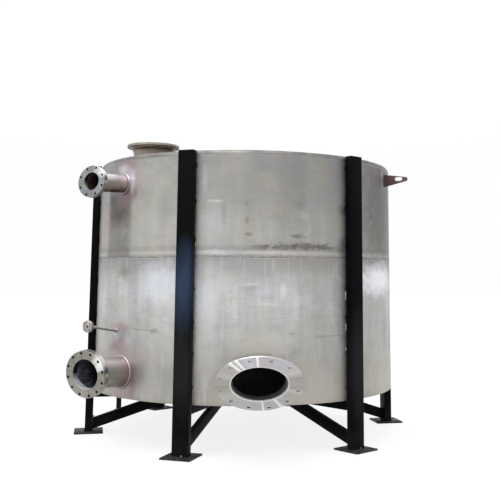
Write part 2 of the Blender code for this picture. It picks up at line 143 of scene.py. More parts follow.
# %% Rings and rods
def spun(profile, steps):
    """Turn a closed outline of (radius, height) points about Z into a solid ring."""
    bm = bmesh.new()
    verts = [bm.verts.new((radius, 0.0, z)) for radius, z in profile]
    edges = [bm.edges.new((a, b)) for a, b in zip(verts, verts[1:] + verts[:1])]
    bmesh.ops.spin(bm, geom=verts + edges, cent=(0, 0, 0), axis=(0, 0, 1), dvec=(0, 0, 0),
                   angle=math.tau, steps=steps, use_merge=True)
    bmesh.ops.remove_doubles(bm, verts=bm.verts, dist=SAME_POINT)
    bmesh.ops.recalc_face_normals(bm, faces=bm.faces)
    return bm


def rod(radius, low_z, high_z, sides, squash=1.0):
    """A solid round bar along Z, flattened along Y by squash."""
    bm = bmesh.new()
    bmesh.ops.create_cone(bm, cap_ends=True, segments=sides, radius1=radius, radius2=radius,
                          depth=high_z - low_z)
    bmesh.ops.translate(bm, vec=(0, 0, (low_z + high_z) / 2), verts=bm.verts)
    bmesh.ops.scale(bm, vec=(1.0, squash, 1.0), verts=bm.verts)
    return bm


def placed(bm, matrix):
    """Carry a shape to a frame, and give it back."""
    bmesh.ops.transform(bm, matrix=matrix, verts=bm.verts)
    return bm


# %% Cut one shape from another
def cut(bm, cutter):
    """Take a closed shape away from another, and give back what is left as a new bmesh."""
    pair = []
    for shape in (bm, cutter):
        mesh = bpy.data.meshes.new("working")
        shape.to_mesh(mesh)
        shape.free()
        obj = bpy.data.objects.new("working", mesh)
        bpy.context.scene.collection.objects.link(obj)
        pair.append(obj)
    modifier = pair[0].modifiers.new("cut", "BOOLEAN")
    modifier.operation = "DIFFERENCE"
    modifier.solver = "EXACT"
    modifier.object = pair[1]
    depsgraph = bpy.context.evaluated_depsgraph_get()
    mesh = bpy.data.meshes.new_from_object(pair[0].evaluated_get(depsgraph))
    made = bmesh.new()
    made.from_mesh(mesh)
    for obj in pair:
        bpy.data.meshes.remove(obj.data)
    bpy.data.meshes.remove(mesh)
    bmesh.ops.remove_doubles(made, verts=made.verts, dist=SAME_POINT)
    return made


# %% A solid with rounded edges
def rounded_solid(node, name, material, bevel, segments=2):
    """Put a copy in the place of a solid, as one closed mesh with its outer edges rounded."""
    bm = bmesh.new()
    bm.from_mesh(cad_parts[node].data)
    bmesh.ops.remove_doubles(bm, verts=bm.verts, dist=5 * SAME_POINT)
    bmesh.ops.dissolve_limit(bm, angle_limit=math.radians(1.0), verts=bm.verts, edges=bm.edges)
    sharp = [e for e in bm.edges if len(e.link_faces) == 2
             and e.calc_face_angle(0.0) > math.radians(40) and e.is_convex]
    bmesh.ops.bevel(bm, geom=sharp, offset=bevel, segments=segments, profile=0.5,
                    affect="EDGES", material=-1, clamp_overlap=True)
    finish_piece(bm, name, material, replaces=[node])


# %% [markdown]
# ## Colours and shader nodes
#
# Colours are written as sRGB hex, the way a swatch is read off a screen, and one function turns them
# into the linear values that shaders expect. Nodes could be wired by hand in the editor, but a script
# keeps each finish readable. One function adds a node, sets it up, links it and gives back one of its
# outputs. The effects after it are named for what they look like on metal and paint: mottling,
# patches, a stain or a spot of painted light in one place, a level band.

# %% Colour and node helpers
def linear(hex_colour):
    """The four linear values of an sRGB hex colour, by the sRGB standard's own curve."""
    parts = [int(hex_colour[i:i + 2], 16) / 255 for i in (1, 3, 5)]
    return (*[c / 12.92 if c <= 0.04045 else ((c + 0.055) / 1.055) ** 2.4 for c in parts], 1.0)


def add(tree, kind, inputs=None, out=0, stops=None, **settings):
    """Add a node, fill or link its inputs, set its stops, and give back one output."""
    made = tree.nodes.new(kind)
    for name, value in settings.items():
        setattr(made, name, value)
    for socket, value in (inputs or {}).items():
        if isinstance(value, bpy.types.NodeSocket):
            tree.links.new(value, made.inputs[socket])
        else:
            made.inputs[socket].default_value = value
    if stops:
        elements = made.color_ramp.elements
        while len(elements) < len(stops):
            elements.new(1.0)
        for element, (position, colour) in zip(elements, stops):
            element.position = position
            element.color = linear(colour)
    return made.outputs[out]


def new_material(name, metallic, roughness):
    """A new finish, with its tree, its shader and its Object coordinates."""
    material = bpy.data.materials.new(name)
    material.use_nodes = True
    tree = material.node_tree
    shader = tree.nodes["Principled BSDF"]
    shader.inputs["Metallic"].default_value = metallic
    shader.inputs["Roughness"].default_value = roughness
    return material, tree, shader, add(tree, "ShaderNodeTexCoord", out="Object")


def dress(tree, shader, colour, relief, strength, depth, gloss=None):
    """Plug in a finish: its colour, a relief so many metres deep, and how its roughness varies."""
    tree.links.new(colour, shader.inputs["Base Color"])
    if gloss:
        shade, start, full, smooth, rough = gloss
        varied = add(tree, "ShaderNodeMapRange", {"Value": shade, "From Min": start, "From Max": full,
                                                  "To Min": smooth, "To Max": rough}, "Result")
        tree.links.new(varied, shader.inputs["Roughness"])
    bump = add(tree, "ShaderNodeBump", {"Height": relief, "Strength": strength, "Distance": depth})
    tree.links.new(bump, shader.inputs["Normal"])
    return bump


# %% Effects that the finishes share
def mottle(tree, where, size, detail=3.0, shift=(0.0, 0.0, 0.0)):
    """Soft uneven shade between 0 and 1 whose patches measure size = (x, y, z) in metres."""
    scale = tuple(1.0 / s for s in size)
    spread = add(tree, "ShaderNodeMapping", {"Vector": where, "Scale": scale, "Location": shift})
    return add(tree, "ShaderNodeTexNoise", {"Vector": spread, "Scale": 1.0, "Detail": detail,
                                            "Roughness": 0.58}, "Fac")


def patches(tree, shade, colour, tint, start, full, strength=1.0):
    """Let a second colour show where the shade passes from start to full."""
    cover = add(tree, "ShaderNodeMapRange", {"Value": shade, "From Min": start, "From Max": full,
                                             "To Max": strength}, "Result")
    return add(tree, "ShaderNodeMix", {0: cover, 6: colour, 7: linear(tint)}, 2, data_type="RGBA")


def stain(tree, where, ragged, colour, tint, centre, size, strength):
    """Tint one place: a stain, or a painted highlight, reflection or shadow. size is its half width and
    half height, and ragged roughens its edge.
    """
    wide, tall = size
    scale = (1 / wide, 1 / wide, 1 / tall)
    nearby = add(tree, "ShaderNodeMapping", {
        "Vector": where, "Scale": scale, "Location": tuple(-c * s for c, s in zip(centre, scale))})
    away = add(tree, "ShaderNodeVectorMath", {0: nearby}, "Value", operation="LENGTH")
    uneven = add(tree, "ShaderNodeMath", {0: ragged, 1: 0.9, 2: away}, operation="MULTIPLY_ADD")
    return patches(tree, uneven, colour, tint, 1.45, 0.72, strength)


def level_band(tree, height, colour, tint, z, half, strength):
    """Tint a level band round the tank, soft over the outer half of its height."""
    off = add(tree, "ShaderNodeMath", {0: height, 1: z}, operation="SUBTRACT")
    away = add(tree, "ShaderNodeMath", {0: off}, operation="ABSOLUTE")
    return patches(tree, away, colour, tint, half, half * 0.5, strength)


# %% Effects that follow the azimuth
def bearing_of(tree, vector):
    """Angle round the upright axis in radians, counted from the front towards +X."""
    east = add(tree, "ShaderNodeSeparateXYZ", {"Vector": vector}, "X")
    north = add(tree, "ShaderNodeSeparateXYZ", {"Vector": vector}, "Y")
    south = add(tree, "ShaderNodeMath", {0: north, 1: -1.0}, operation="MULTIPLY")
    return add(tree, "ShaderNodeMath", {0: east, 1: south}, operation="ARCTAN2")


def strip(tree, bearing, height, colour, tint, azimuth, half, low_z, high_z, strength):
    """Tint an upright strip of the wall. azimuth and half its width are in degrees."""
    off = add(tree, "ShaderNodeMath", {0: bearing, 1: math.radians(azimuth)}, operation="SUBTRACT")
    away = add(tree, "ShaderNodeMath", {0: off}, operation="ABSOLUTE")
    side = add(tree, "ShaderNodeMapRange", {"Value": away, "From Min": math.radians(half * 1.15),
                                            "From Max": math.radians(half * 0.85)}, "Result")
    foot = add(tree, "ShaderNodeMapRange", {"Value": height, "From Min": low_z - 0.05,
                                            "From Max": low_z + 0.05, "To Max": strength}, "Result")
    head = add(tree, "ShaderNodeMapRange", {"Value": height, "From Min": high_z + 0.05,
                                            "From Max": high_z - 0.05}, "Result")
    inside = add(tree, "ShaderNodeMath", {0: side, 1: foot}, operation="MULTIPLY")
    cover = add(tree, "ShaderNodeMath", {0: inside, 1: head}, operation="MULTIPLY")
    return add(tree, "ShaderNodeMix", {0: cover, 6: colour, 7: linear(tint)}, 2, data_type="RGBA")


# %% [markdown]
# ## Rolled stainless sheet
#
# Cold rolled stainless steel has a satin skin that mirrors the room only as broad soft patches. On a
# tank that has just been welded it also carries handling smudges, faint upright runs, and a pinkish
# stain around each nozzle, perhaps from a weld test. A picture wrapped round the shell would need a
# file and would blur close up. So layers of noise are laid over one another in Object coordinates:
# they are sized in metres and stay put from every side.

# %% Skin of the rolled sheet
def sheet_skin(tree, where, height, tones, runs, smudge, streak):
    """Layers that lie all over a sheet. tones is a colour ramp over the tank's height."""
    wander = mottle(tree, where, (0.30, 0.30, 0.14), 2.0)
    level = add(tree, "ShaderNodeMath", {0: wander, 1: 0.05, 2: height}, operation="MULTIPLY_ADD")
    share = add(tree, "ShaderNodeMapRange", {"Value": level, "From Min": Z_BOTTOM + 0.025,
                                             "From Max": Z_RIM + 0.025}, "Result")
    colour = add(tree, "ShaderNodeValToRGB", {"Fac": share}, "Color", stops=tones)
    # upright runs, 85 mm wide and over a metre tall
    run = mottle(tree, where, (0.085, 0.085, 1.3), 3.0)
    colour = patches(tree, run, colour, runs, 0.42, 0.62, 0.34)
    # broad smudges, 200 mm across
    cloud = mottle(tree, where, (0.20, 0.20, 0.13), 5.0)
    colour = patches(tree, cloud, colour, smudge, 0.50, 0.74, 0.42)
    # straw coloured patches and cool upright ones, which differ in hue more than in shade
    warm = mottle(tree, where, (0.24, 0.24, 0.16), 4.0, (1.0, 6.0, 2.0))
    colour = patches(tree, warm, colour, "#b0a994", 0.48, 0.70, 0.45)
    cool = mottle(tree, where, (0.09, 0.09, 0.34), 4.0, (8.0, 3.0, 5.0))
    colour = patches(tree, cool, colour, "#a6a5b1", 0.50, 0.72, 0.32)
    # level polishing marks, which are under 1 mm apart and drawn 10 mm apart so that they show
    grain = mottle(tree, where, (0.16, 0.16, 0.010), 5.0)
    colour = patches(tree, grain, colour, smudge, 0.44, 0.76, 0.24)
    if streak:
        # rubbed upright streaks, 30 mm wide
        rub = mottle(tree, where, (0.030, 0.030, 0.28), 4.0, (5.0, 2.0, 1.0))
        colour = patches(tree, rub, colour, streak, 0.54, 0.74, 0.30)
    # small dark nicks and splashes, 13 to 24 mm across
    nick = mottle(tree, where, (0.024, 0.024, 0.013), 1.0, (3.0, 1.0, 7.0))
    colour = patches(tree, nick, colour, "#77746d", 0.71, 0.80, 0.45)
    return colour, cloud, grain


# %% Marks in their own places on a sheet
# a wavy edge wanders by this much, upwards in metres and round the tank in radians
WAVER_UP, WAVER_ROUND = 0.016, 0.035
# a mark that is less than this tall, a spatter or a thin painted highlight or shadow, gets broken edges
SPATTER = 0.05


def sheet_marks(tree, where, height, colour, bands, stains, strips):
    """Lay level bands, upright strips, stains and painted light over a sheet's skin."""
    ragged = mottle(tree, where, (0.06, 0.06, 0.05), 4.0)
    rising = add(tree, "ShaderNodeMath", {0: ragged, 1: WAVER_UP, 2: height},
                 operation="MULTIPLY_ADD")
    for tint, z, half, strength, wavy in bands:
        colour = level_band(tree, rising if wavy else height, colour, tint,
                            z + WAVER_UP / 2 * wavy, half, strength)
    if strips:
        arm = add(tree, "ShaderNodeVectorMath", {0: where, 1: AXIS}, operation="SUBTRACT")
        bearing = add(tree, "ShaderNodeMath", {0: ragged, 1: WAVER_ROUND, 2: bearing_of(tree, arm)},
                      operation="MULTIPLY_ADD")
    for tint, azimuth, half, low_z, high_z, strength in strips:
        middle = azimuth + math.degrees(WAVER_ROUND / 2)
        colour = strip(tree, bearing, rising, colour, tint, middle, half, low_z, high_z, strength)
    blot = mottle(tree, where, (0.032, 0.032, 0.018), 3.0)
    splash = add(tree, "ShaderNodeMapRange", {"Value": blot, "From Min": 0.30, "From Max": 0.70},
                 "Result")
    for tint, centre, size, strength in stains:
        edge = splash if size[1] < SPATTER else ragged
        colour = stain(tree, where, edge, colour, tint, centre, size, strength)
    return colour


# %% Rolled stainless sheet
def rolled_stainless(name, tones, runs, smudge, bands=(), stains=(), streak=None, strips=()):
    """A finish for one course: its skin, its marks, and a slight wave that breaks reflections."""
    material, tree, shader, where = new_material(name, 1.0, 0.52)
    height = add(tree, "ShaderNodeSeparateXYZ", {"Vector": where}, "Z")
    colour, cloud, grain = sheet_skin(tree, where, height, tones, runs, smudge, streak)
    colour = sheet_marks(tree, where, height, colour, bands, stains, strips)
    waves = add(tree, "ShaderNodeBump", {"Height": cloud, "Strength": 0.30, "Distance": 0.003})
    fine = dress(tree, shader, colour, grain, 0.10, 0.001, (cloud, 0.3, 0.7, 0.46, 0.60))
    tree.links.new(waves, fine.node.inputs["Normal"])
    return material


# %% [markdown]
# ## Turned stainless faces
#
# A flange face is cut on a lathe. The tool leaves fine circular grooves, and such grooves stretch each
# highlight across them, so the light runs in bright spokes from the bore to the rim. Modelled grooves
# would need millions of faces. An anisotropic shader gives the same light, if it knows the direction
# of the grooves: square to the flange's axis and to the line from its centre. The plain studio gives
# these spokes too little contrast, so a few of them, and glints on the rims, are also painted in. They
# stand in for reflections, and so they stay where they are in any other light.

# %% Turned stainless faces
def turned_stainless(name, place, face, worn, roughness=0.34, spokes=(), lip=None, marks=()):
    """spokes are (angle, half width, hex, strength) in degrees; lip is (radius, hex) at the bore."""
    material, tree, shader, where = new_material(name, 1.0, roughness)
    across, up, axis, centre = [column.xyz for column in place.col]
    arm = add(tree, "ShaderNodeVectorMath", {0: where, 1: centre}, operation="SUBTRACT")
    spoke = add(tree, "ShaderNodeVectorMath", {0: arm}, operation="NORMALIZE")
    groove = add(tree, "ShaderNodeVectorMath", {0: axis, 1: spoke}, operation="CROSS_PRODUCT")
    tree.links.new(groove, shader.inputs["Tangent"])
    shader.inputs["Anisotropic"].default_value = 0.55
    fan = mottle(tree, spoke, (0.16, 0.16, 0.16), 2.0)
    hand = mottle(tree, where, (0.045, 0.045, 0.045), 4.0)
    colour = patches(tree, fan, linear(face), worn, 0.45, 0.62, 0.45)
    colour = patches(tree, hand, colour, worn, 0.52, 0.72, 0.7)
    for angle, half, tint, strength in spokes:
        turn = math.radians(angle)
        toward = across * math.cos(turn) + up * math.sin(turn)
        match = add(tree, "ShaderNodeVectorMath", {0: spoke, 1: toward}, "Value",
                    operation="DOT_PRODUCT")
        colour = patches(tree, match, colour, tint, math.cos(math.radians(half)),
                         math.cos(math.radians(half * 0.4)), strength)
    if lip:
        reach = add(tree, "ShaderNodeVectorMath", {0: arm}, "Value", operation="LENGTH")
        colour = patches(tree, reach, colour, lip[1], lip[0] + 0.003, lip[0], 0.8)
    for tint, spot, size, strength in marks:
        colour = stain(tree, where, hand, colour, tint, place @ Vector(spot), (size, size), strength)
    dress(tree, shader, colour, hand, 0.2, 0.001,
          (fan, 0.35, 0.65, roughness - 0.06, roughness + 0.12))
    return material


# %% [markdown]
# ## Weld beads and stained pipe
#
# A weld bead is a row of frozen ripples, bright on the crest and tinted straw to brown beside it. The
# nozzle pipes are drawn tube: satin like the shell and pinkish. Their pale tops and brown undersides
# are painted reflection, of the light above and of brown ground below. A brown floor would give that
# change from top to bottom, but the studio's floor is pale. So a colour ramp of painted light and shade
# follows the direction in which the skin faces. Inside a pipe only the stretch near its mouth is lit,
# so its light and dark are painted by how far a point lies from the mouth.

# %% Weld metal
def weld_metal(name, crest="#d8d2ce", heat_tint="#a89c96"):
    """Bright metal with ripples of 6 mm and tints of 50 mm."""
    material, tree, shader, where = new_material(name, 1.0, 0.32)
    ripple = mottle(tree, where, (0.006, 0.006, 0.006), 2.0)
    heat = mottle(tree, where, (0.05, 0.05, 0.05), 3.0)
    colour = patches(tree, heat, linear(crest), heat_tint, 0.4, 0.65)
    dress(tree, shader, colour, ripple, 0.6, 0.0015)
    return material


# %% Drawn tube for the nozzles
def drawn_tube(name, around, root, reach, near, blotch, bands=()):
    """around is a ramp of painted light and shade from the underside to the top; near is the tint up to
    reach from the root.
    """
    material, tree, shader, where = new_material(name, 1.0, 0.38)
    normal = add(tree, "ShaderNodeNewGeometry", out="Normal")
    tilt = add(tree, "ShaderNodeSeparateXYZ", {"Vector": normal}, "Z")
    side = add(tree, "ShaderNodeMapRange", {"Value": tilt, "From Min": -1.0}, "Result")
    colour = add(tree, "ShaderNodeValToRGB", {"Fac": side}, "Color", stops=around)
    cloud = mottle(tree, where, (0.05, 0.05, 0.05), 4.0)
    colour = patches(tree, cloud, colour, blotch, 0.5, 0.72, 0.55)
    ragged = mottle(tree, where, (0.03, 0.03, 0.03), 3.0)
    colour = stain(tree, where, ragged, colour, near, root, (reach, reach), 0.6)
    height = add(tree, "ShaderNodeSeparateXYZ", {"Vector": where}, "Z")
    for tint, z, half, strength in bands:
        colour = level_band(tree, height, colour, tint, z, half, strength)
    dress(tree, shader, colour, cloud, 0.2, 0.002, (cloud, 0.3, 0.7, 0.32, 0.46))
    return material


# %% The inside of a pipe, lit only near its mouth
def bore_steel(name, mouth, reach, lit, deep, glare, glare_strength):
    """Painted light: lit near the mouth, dark beyond reach, with flecks of painted glare. The dull film
    left by pickling takes away most of the mirror, so metallic is low.
    """
    material, tree, shader, where = new_material(name, 0.35, 0.50)
    wet = mottle(tree, where, (0.050, 0.050, 0.022), 3.0)
    colour = patches(tree, wet, linear(lit), glare, 0.56, 0.68, glare_strength)
    away = add(tree, "ShaderNodeVectorMath", {0: where, 1: mouth}, "Value", operation="DISTANCE")
    colour = patches(tree, away, colour, deep, reach * 0.6, reach)
    dress(tree, shader, colour, wet, 0.5, 0.002)
    return material


# %% [markdown]
# ## Black paint
#
# The legs and the underframe are sprayed with satin black enamel. Such paint follows the steel with a
# slight orange peel of about 4 mm, gathers pale dust low down and is rubbed grey here and there. A
# plain black would look cut out of paper, so the tone is varied a little over a hand's width. The
# paint mirrors little, so its specular level is low.

# %% Satin black enamel
def black_enamel(name, body="#040405", second="#08080b", worn="#1b1c1f", dust=0.06,
                 dust_height=0.16, stains=()):
    """body and second share the surface, worn shows in rubbed places, dust lies low down."""
    material, tree, shader, where = new_material(name, 0.0, 0.42)
    shader.inputs["Specular IOR Level"].default_value = 0.04
    peel = mottle(tree, where, (0.004, 0.004, 0.004), 2.0)
    rub = mottle(tree, where, (0.05, 0.05, 0.16), 5.0)
    tone = mottle(tree, where, (0.12, 0.12, 0.40), 3.0)
    colour = patches(tree, tone, linear(body), second, 0.35, 0.7)
    colour = patches(tree, rub, colour, worn, 0.66, 0.78, 0.4)
    height = add(tree, "ShaderNodeSeparateXYZ", {"Vector": where}, "Z")
    low_down = add(tree, "ShaderNodeMath", {0: rub, 1: 0.1, 2: height}, operation="MULTIPLY_ADD")
    colour = patches(tree, low_down, colour, "#5b5b5d", dust_height + 0.05, 0.05, dust)
    for tint, centre, size, strength in stains:
        colour = stain(tree, where, tone, colour, tint, centre, size, strength)
    dress(tree, shader, colour, peel, 0.16, 0.0006, (rub, 0.3, 0.75, 0.34, 0.56))
    return material


# %% [markdown]
# ## Nozzle positions
#
# Each nozzle on the left leaves the wall nearly square to it, but its flange is welded on aslant: it
# faces 16 to 20 degrees further round to the front than the pipe runs. Its pipe, flange, welds and
# stains all need the same few points, so each nozzle is written down once. Its root on the wall, the
# end of its pipe and the centre of its face are worked out from that, in metres and degrees.

# %% Nozzle table
# run and look are the azimuth and rise of the pipe and of the flange's face
NOZZLES = {
    "lower_inlet": dict(azimuth=-47.6, z=0.5224, reach=0.2735, run=(-43.5, 3.31), pipe=0.106,
                        wall=0.004, look=(-26.5, -8.0), thick=0.050, outer=0.164, bore=0.104,
                        bolts=12, circle=0.1475, hole=0.010, first=9.0),
    "upper_inlet": dict(azimuth=-49.3, z=1.890, reach=0.2662, run=(-44.0, -2.42), pipe=0.0665,
                        wall=0.003, look=(-27.5, 4.5), thick=0.038, outer=0.116, bore=0.065,
                        bolts=8, circle=0.1015, hole=0.009, first=26.0),
    "sample_branch": dict(azimuth=-51.4, z=0.811, reach=0.2416, run=(-44.0, 9.58), pipe=0.0095,
                          wall=0.0015, look=(-30.0, -3.5), thick=0.024, outer=0.0425, bore=0.008,
                          bolts=4, circle=0.032, hole=0.005, first=45.0),
}
for name, n in NOZZLES.items():
    n["root"] = wall_point(n["azimuth"], n["z"])
    n["along"] = heading(*n["run"])
    n["back"] = n["root"] + n["along"] * n["reach"]
    n["run_frame"] = facing(n["back"], n["along"])
    n["facing"] = heading(*n["look"])
    n["face"] = n["back"] + n["facing"] * n["thick"]
    n["frame"] = facing(n["face"], n["facing"])
    print(name, "face at", [round(c, 3) for c in n["face"]])

# %% The mouth, the roof port and the bracket
# the mouth's ring leans back, so its round bore becomes an oval duct that runs level into the tank
MOUTH_TILT = math.radians(48.5)
MOUTH_CENTRE = AXIS + Vector((0.104, -1.420, 0.508))
MOUTH_FACING = Vector((0.0, -math.cos(MOUTH_TILT), -math.sin(MOUTH_TILT)))
MOUTH = facing(MOUTH_CENTRE, MOUTH_FACING)
MOUTH_LEVEL = facing(MOUTH_CENTRE, (0.0, -1.0, 0.0))
MOUTH_RING = dict(outer=0.300, bore=0.188, thick=0.010, bolts=12, circle=0.2635, hole=0.012,
                  first=15.0)
DUCT_WALL = 0.006
DUCT_RADIUS = MOUTH_RING["bore"] + DUCT_WALL
SQUASH = math.cos(MOUTH_TILT)
PORT = Matrix.Translation(AXIS + Vector((-0.805, 0.124, 2.328)))
PORT_PIPE, PORT_WALL = 0.15925, 0.006
PORT_RING = dict(outer=0.2225, bore=PORT_PIPE + 0.0004, thick=0.024, bolts=16, circle=0.200,
                 hole=0.0125, first=11.25)
EAR_AZIMUTH = 67.76
print("mouth", round(2000 * MOUTH_RING["bore"]), "mm wide and",
      round(2000 * MOUTH_RING["bore"] * SQUASH), "mm tall inside its duct")

# %% [markdown]
# ## Marks on the sheets
#
# The sheets carry the traces of the work: stained rings round the nozzles and splashes beside the
# seam. They also carry painted light: painted shade along both sides of each leg, a thin painted
# shadow just above the mouth's ring, and bright and dark places that stand in for reflections of the
# surroundings. Noise alone would scatter such marks anywhere, so each is placed one by one, by the
# azimuth and height of its middle, or by its distance from the nozzle that it belongs to.

# %% How a mark is written down
upper_root, lower_root, thin_root = [NOZZLES[name]["root"] for name in
                                     ("upper_inlet", "lower_inlet", "sample_branch")]


def wall_marks(rows):
    """Stains and painted light from rows of tint, azimuth, height, half width, half height and
    strength.
    """
    return [(tint, wall_point(azimuth, z), (wide, tall), strength)
            for tint, azimuth, z, wide, tall, strength in rows]


def marks_round(root, along, rows):
    """Stains and painted light from rows of tint, distance towards azimuth along, rise, half sizes and
    strength.
    """
    return [(tint, root + heading(along) * side + UP * rise, (wide, tall), strength)
            for tint, side, rise, wide, tall, strength in rows]


# the wall behind the nozzles runs towards the front at this azimuth
ALONG_NOZZLES = 40.0
# painted shade on the wall along both sides of each leg
leg_shadows = wall_marks([("#55534f", azimuth, 1.2, 0.080, 4.0, 0.75) for azimuth in LEG_AZIMUTHS])
print("shadows beside the legs:", len(leg_shadows))

# %% Marks on the upper sheets
# painted light among these marks: pale reflections at -36 and -11 degrees, pale highlights above and
# beside the upper nozzle, highlights along the seam's crease near 1.37 m, and a broad dark reflection
# at 62 degrees
upper_marks = wall_marks([
    ("#c9c8c0", -36.0, 1.74, 0.31, 0.64, 0.42),
]) + marks_round(upper_root, ALONG_NOZZLES, [
    ("#d4d0cd", 0.17, -0.03, 0.13, 0.20, 0.55),
    ("#a08f95", 0.02, 0.0, 0.25, 0.20, 0.62),
    ("#a18c92", 0.04, 0.145, 0.17, 0.075, 0.5),
    ("#dcd6de", -0.005, 0.110, 0.100, 0.050, 0.7),
    ("#cfc7d0", 0.080, 0.060, 0.080, 0.060, 0.8),
    ("#dddade", 0.105, -0.01, 0.050, 0.10, 0.8),
    ("#8d747c", 0.02, -0.11, 0.13, 0.07, 0.65),
    ("#93797f", 0.14, -0.075, 0.035, 0.060, 0.5),
]) + wall_marks([
    ("#ab9896", -62.5, 1.60, 0.12, 0.24, 0.4),
    ("#918f8a", -28.6, 1.69, 0.085, 0.17, 0.4),
    ("#c3c6cb", -11.0, 1.55, 0.19, 0.18, 0.3),
    ("#cfd1d6", -9.5, 1.375, 0.13, 0.028, 0.5),
    ("#dcd9d8", -10.3, 1.731, 0.08, 0.012, 0.4),
    ("#8f8e8c", -7.2, 1.66, 0.025, 0.12, 0.5),
    ("#bcbcbe", -14.0, 1.88, 0.030, 0.14, 0.4),
    ("#cdcaca", 10.0, 1.373, 0.30, 0.020, 0.5),
    ("#5e5a55", 6.0, 1.414, 0.10, 0.026, 0.6),
    ("#5f5b55", 13.0, 1.418, 0.14, 0.030, 0.65),
    ("#d2d1d0", 57.0, 1.368, 0.32, 0.030, 0.7),
    ("#5c5850", 17.6, 1.493, 0.060, 0.022, 0.55),
    ("#625e56", 20.5, 1.422, 0.13, 0.036, 0.7),
    ("#625e56", 27.5, 1.418, 0.10, 0.030, 0.7),
    ("#5d5a52", 0.9, 1.50, 0.036, 0.016, 0.5),
    ("#605c55", 0.6, 1.60, 0.020, 0.036, 0.4),
    ("#66625c", 0.3, 1.71, 0.018, 0.034, 0.3),
    ("#cbcac7", 19.4, 1.65, 0.055, 0.045, 0.35),
    ("#7d7975", 18.7, 1.71, 0.080, 0.060, 0.3),
    ("#5a5650", 36.4, 1.686, 0.070, 0.060, 0.6),
    ("#6a675c", 36.2, 1.42, 0.075, 0.10, 0.6),
    ("#6d6f6e", 62.0, 1.68, 0.46, 0.70, 0.75),
    ("#8c7a7f", 55.5, 1.985, 0.20, 0.055, 0.5),
    ("#85837f", 16.5, 1.76, 0.16, 0.46, 0.35),
    ("#868582", 3.5, 1.80, 0.14, 0.42, 0.2),
    ("#8a7f8c", 60.0, 1.93, 0.20, 0.085, 0.4),
    ("#b9aab8", EAR_AZIMUTH - 4.0, 1.98, 0.045, 0.10, 0.8),
]) + leg_shadows
# upright strips: tint, azimuth, half width in degrees, lower and upper end, strength
upper_strips = [
    ("#77746f", -52.4, 8.0, 1.28, 1.84, 0.60),
    ("#544e4c", -52.4, 7.6, 1.60, 1.87, 0.72),
]
print("marks on the upper sheets:", len(upper_marks) + len(upper_strips))

# %% Marks on the lower sheets
# painted light among these marks: a darker reflection at 26 degrees with paler ones near the foot, a
# pale reflection beside the lower nozzle, bright reflections at -30, -11 and 58.5 degrees, a darker one
# at 36.5 degrees, and a thin painted shadow just above the mouth's ring
lower_marks = wall_marks([
    ("#96928a", 26.0, 1.00, 0.36, 0.85, 0.24),
    ("#c0bbb1", 26.0, 0.42, 0.38, 0.28, 0.5),
    ("#cdc9c0", 62.0, 0.46, 0.40, 0.30, 0.55),
    ("#9f9c95", -57.0, 0.85, 0.11, 0.50, 0.35),
]) + marks_round(lower_root, ALONG_NOZZLES, [
    ("#d6d5cf", 0.27, 0.0, 0.15, 0.28, 0.4),
    ("#ab979a", 0.0, 0.0, 0.25, 0.23, 0.65),
    ("#937a82", 0.135, -0.04, 0.055, 0.17, 0.6),
    ("#967e84", -0.04, 0.19, 0.14, 0.085, 0.65),
    ("#9b868b", -0.12, 0.175, 0.10, 0.060, 0.5),
    ("#a18b90", 0.02, -0.16, 0.16, 0.045, 0.5),
    ("#95929a", 0.0, 0.27, 0.10, 0.06, 0.5),
]) + marks_round(thin_root, ALONG_NOZZLES, [
    ("#a98f90", 0.03, 0.03, 0.14, 0.05, 0.6),
]) + wall_marks([
    ("#8b877b", -47.5, 1.240, 0.10, 0.070, 0.62),
    ("#dfe2ea", -30.0, 1.16, 0.22, 0.21, 0.6),
    ("#a6a49e", -36.0, 0.94, 0.14, 0.16, 0.25),
    ("#a3a09a", 55.0, 0.95, 0.36, 0.16, 0.3),
    ("#d9dbe0", -11.0, 1.10, 0.16, 0.24, 0.3),
    ("#7f7b76", -31.9, 0.828, 0.055, 0.016, 0.5),
    ("#88847f", -38.0, 0.832, 0.12, 0.009, 0.4),
    ("#8b8681", 30.3, 0.796, 0.20, 0.006, 0.5),
    ("#8f8b86", 15.6, 0.817, 0.030, 0.018, 0.5),
    ("#e0dfdf", 8.4, 1.021, 0.10, 0.012, 0.4),
    ("#e6e6e8", 12.8, 1.117, 0.034, 0.080, 0.5),
    ("#d9d9dc", 17.3, 1.014, 0.040, 0.13, 0.4),
    ("#e0dedd", 2.4, 1.157, 0.08, 0.012, 0.4),
    ("#f6f6fd", 58.5, 1.19, 0.42, 0.16, 0.95),
    ("#8c8a84", 36.5, 1.02, 0.11, 0.34, 0.45),
]) + marks_round(MOUTH_CENTRE - MOUTH_LEVEL.col[2].xyz * 0.22, 90.0, [
    ("#d8d6d1", 0.02, 0.24, 0.26, 0.13, 0.6),
    ("#857f77", -0.01, 0.158, 0.16, 0.028, 0.45),
]) + leg_shadows
print("marks on the lower sheets:", len(lower_marks))

# %% [markdown]
# ## Finishes for this tank
#
# Rolled sheet of one batch would look alike everywhere, but the tank mirrors its surroundings: dim near
# the roof, brightest about one metre up and warm near the ground. Lamps could be placed until they
# give that, but every move of one would change all the rest. So ramps over the height give the broad
# change, and the lamp adds only a soft shine. What is painted this way stays the same in any other
# light. A band is written as tint, height, half height, strength, and 1 where its edge is wavy.

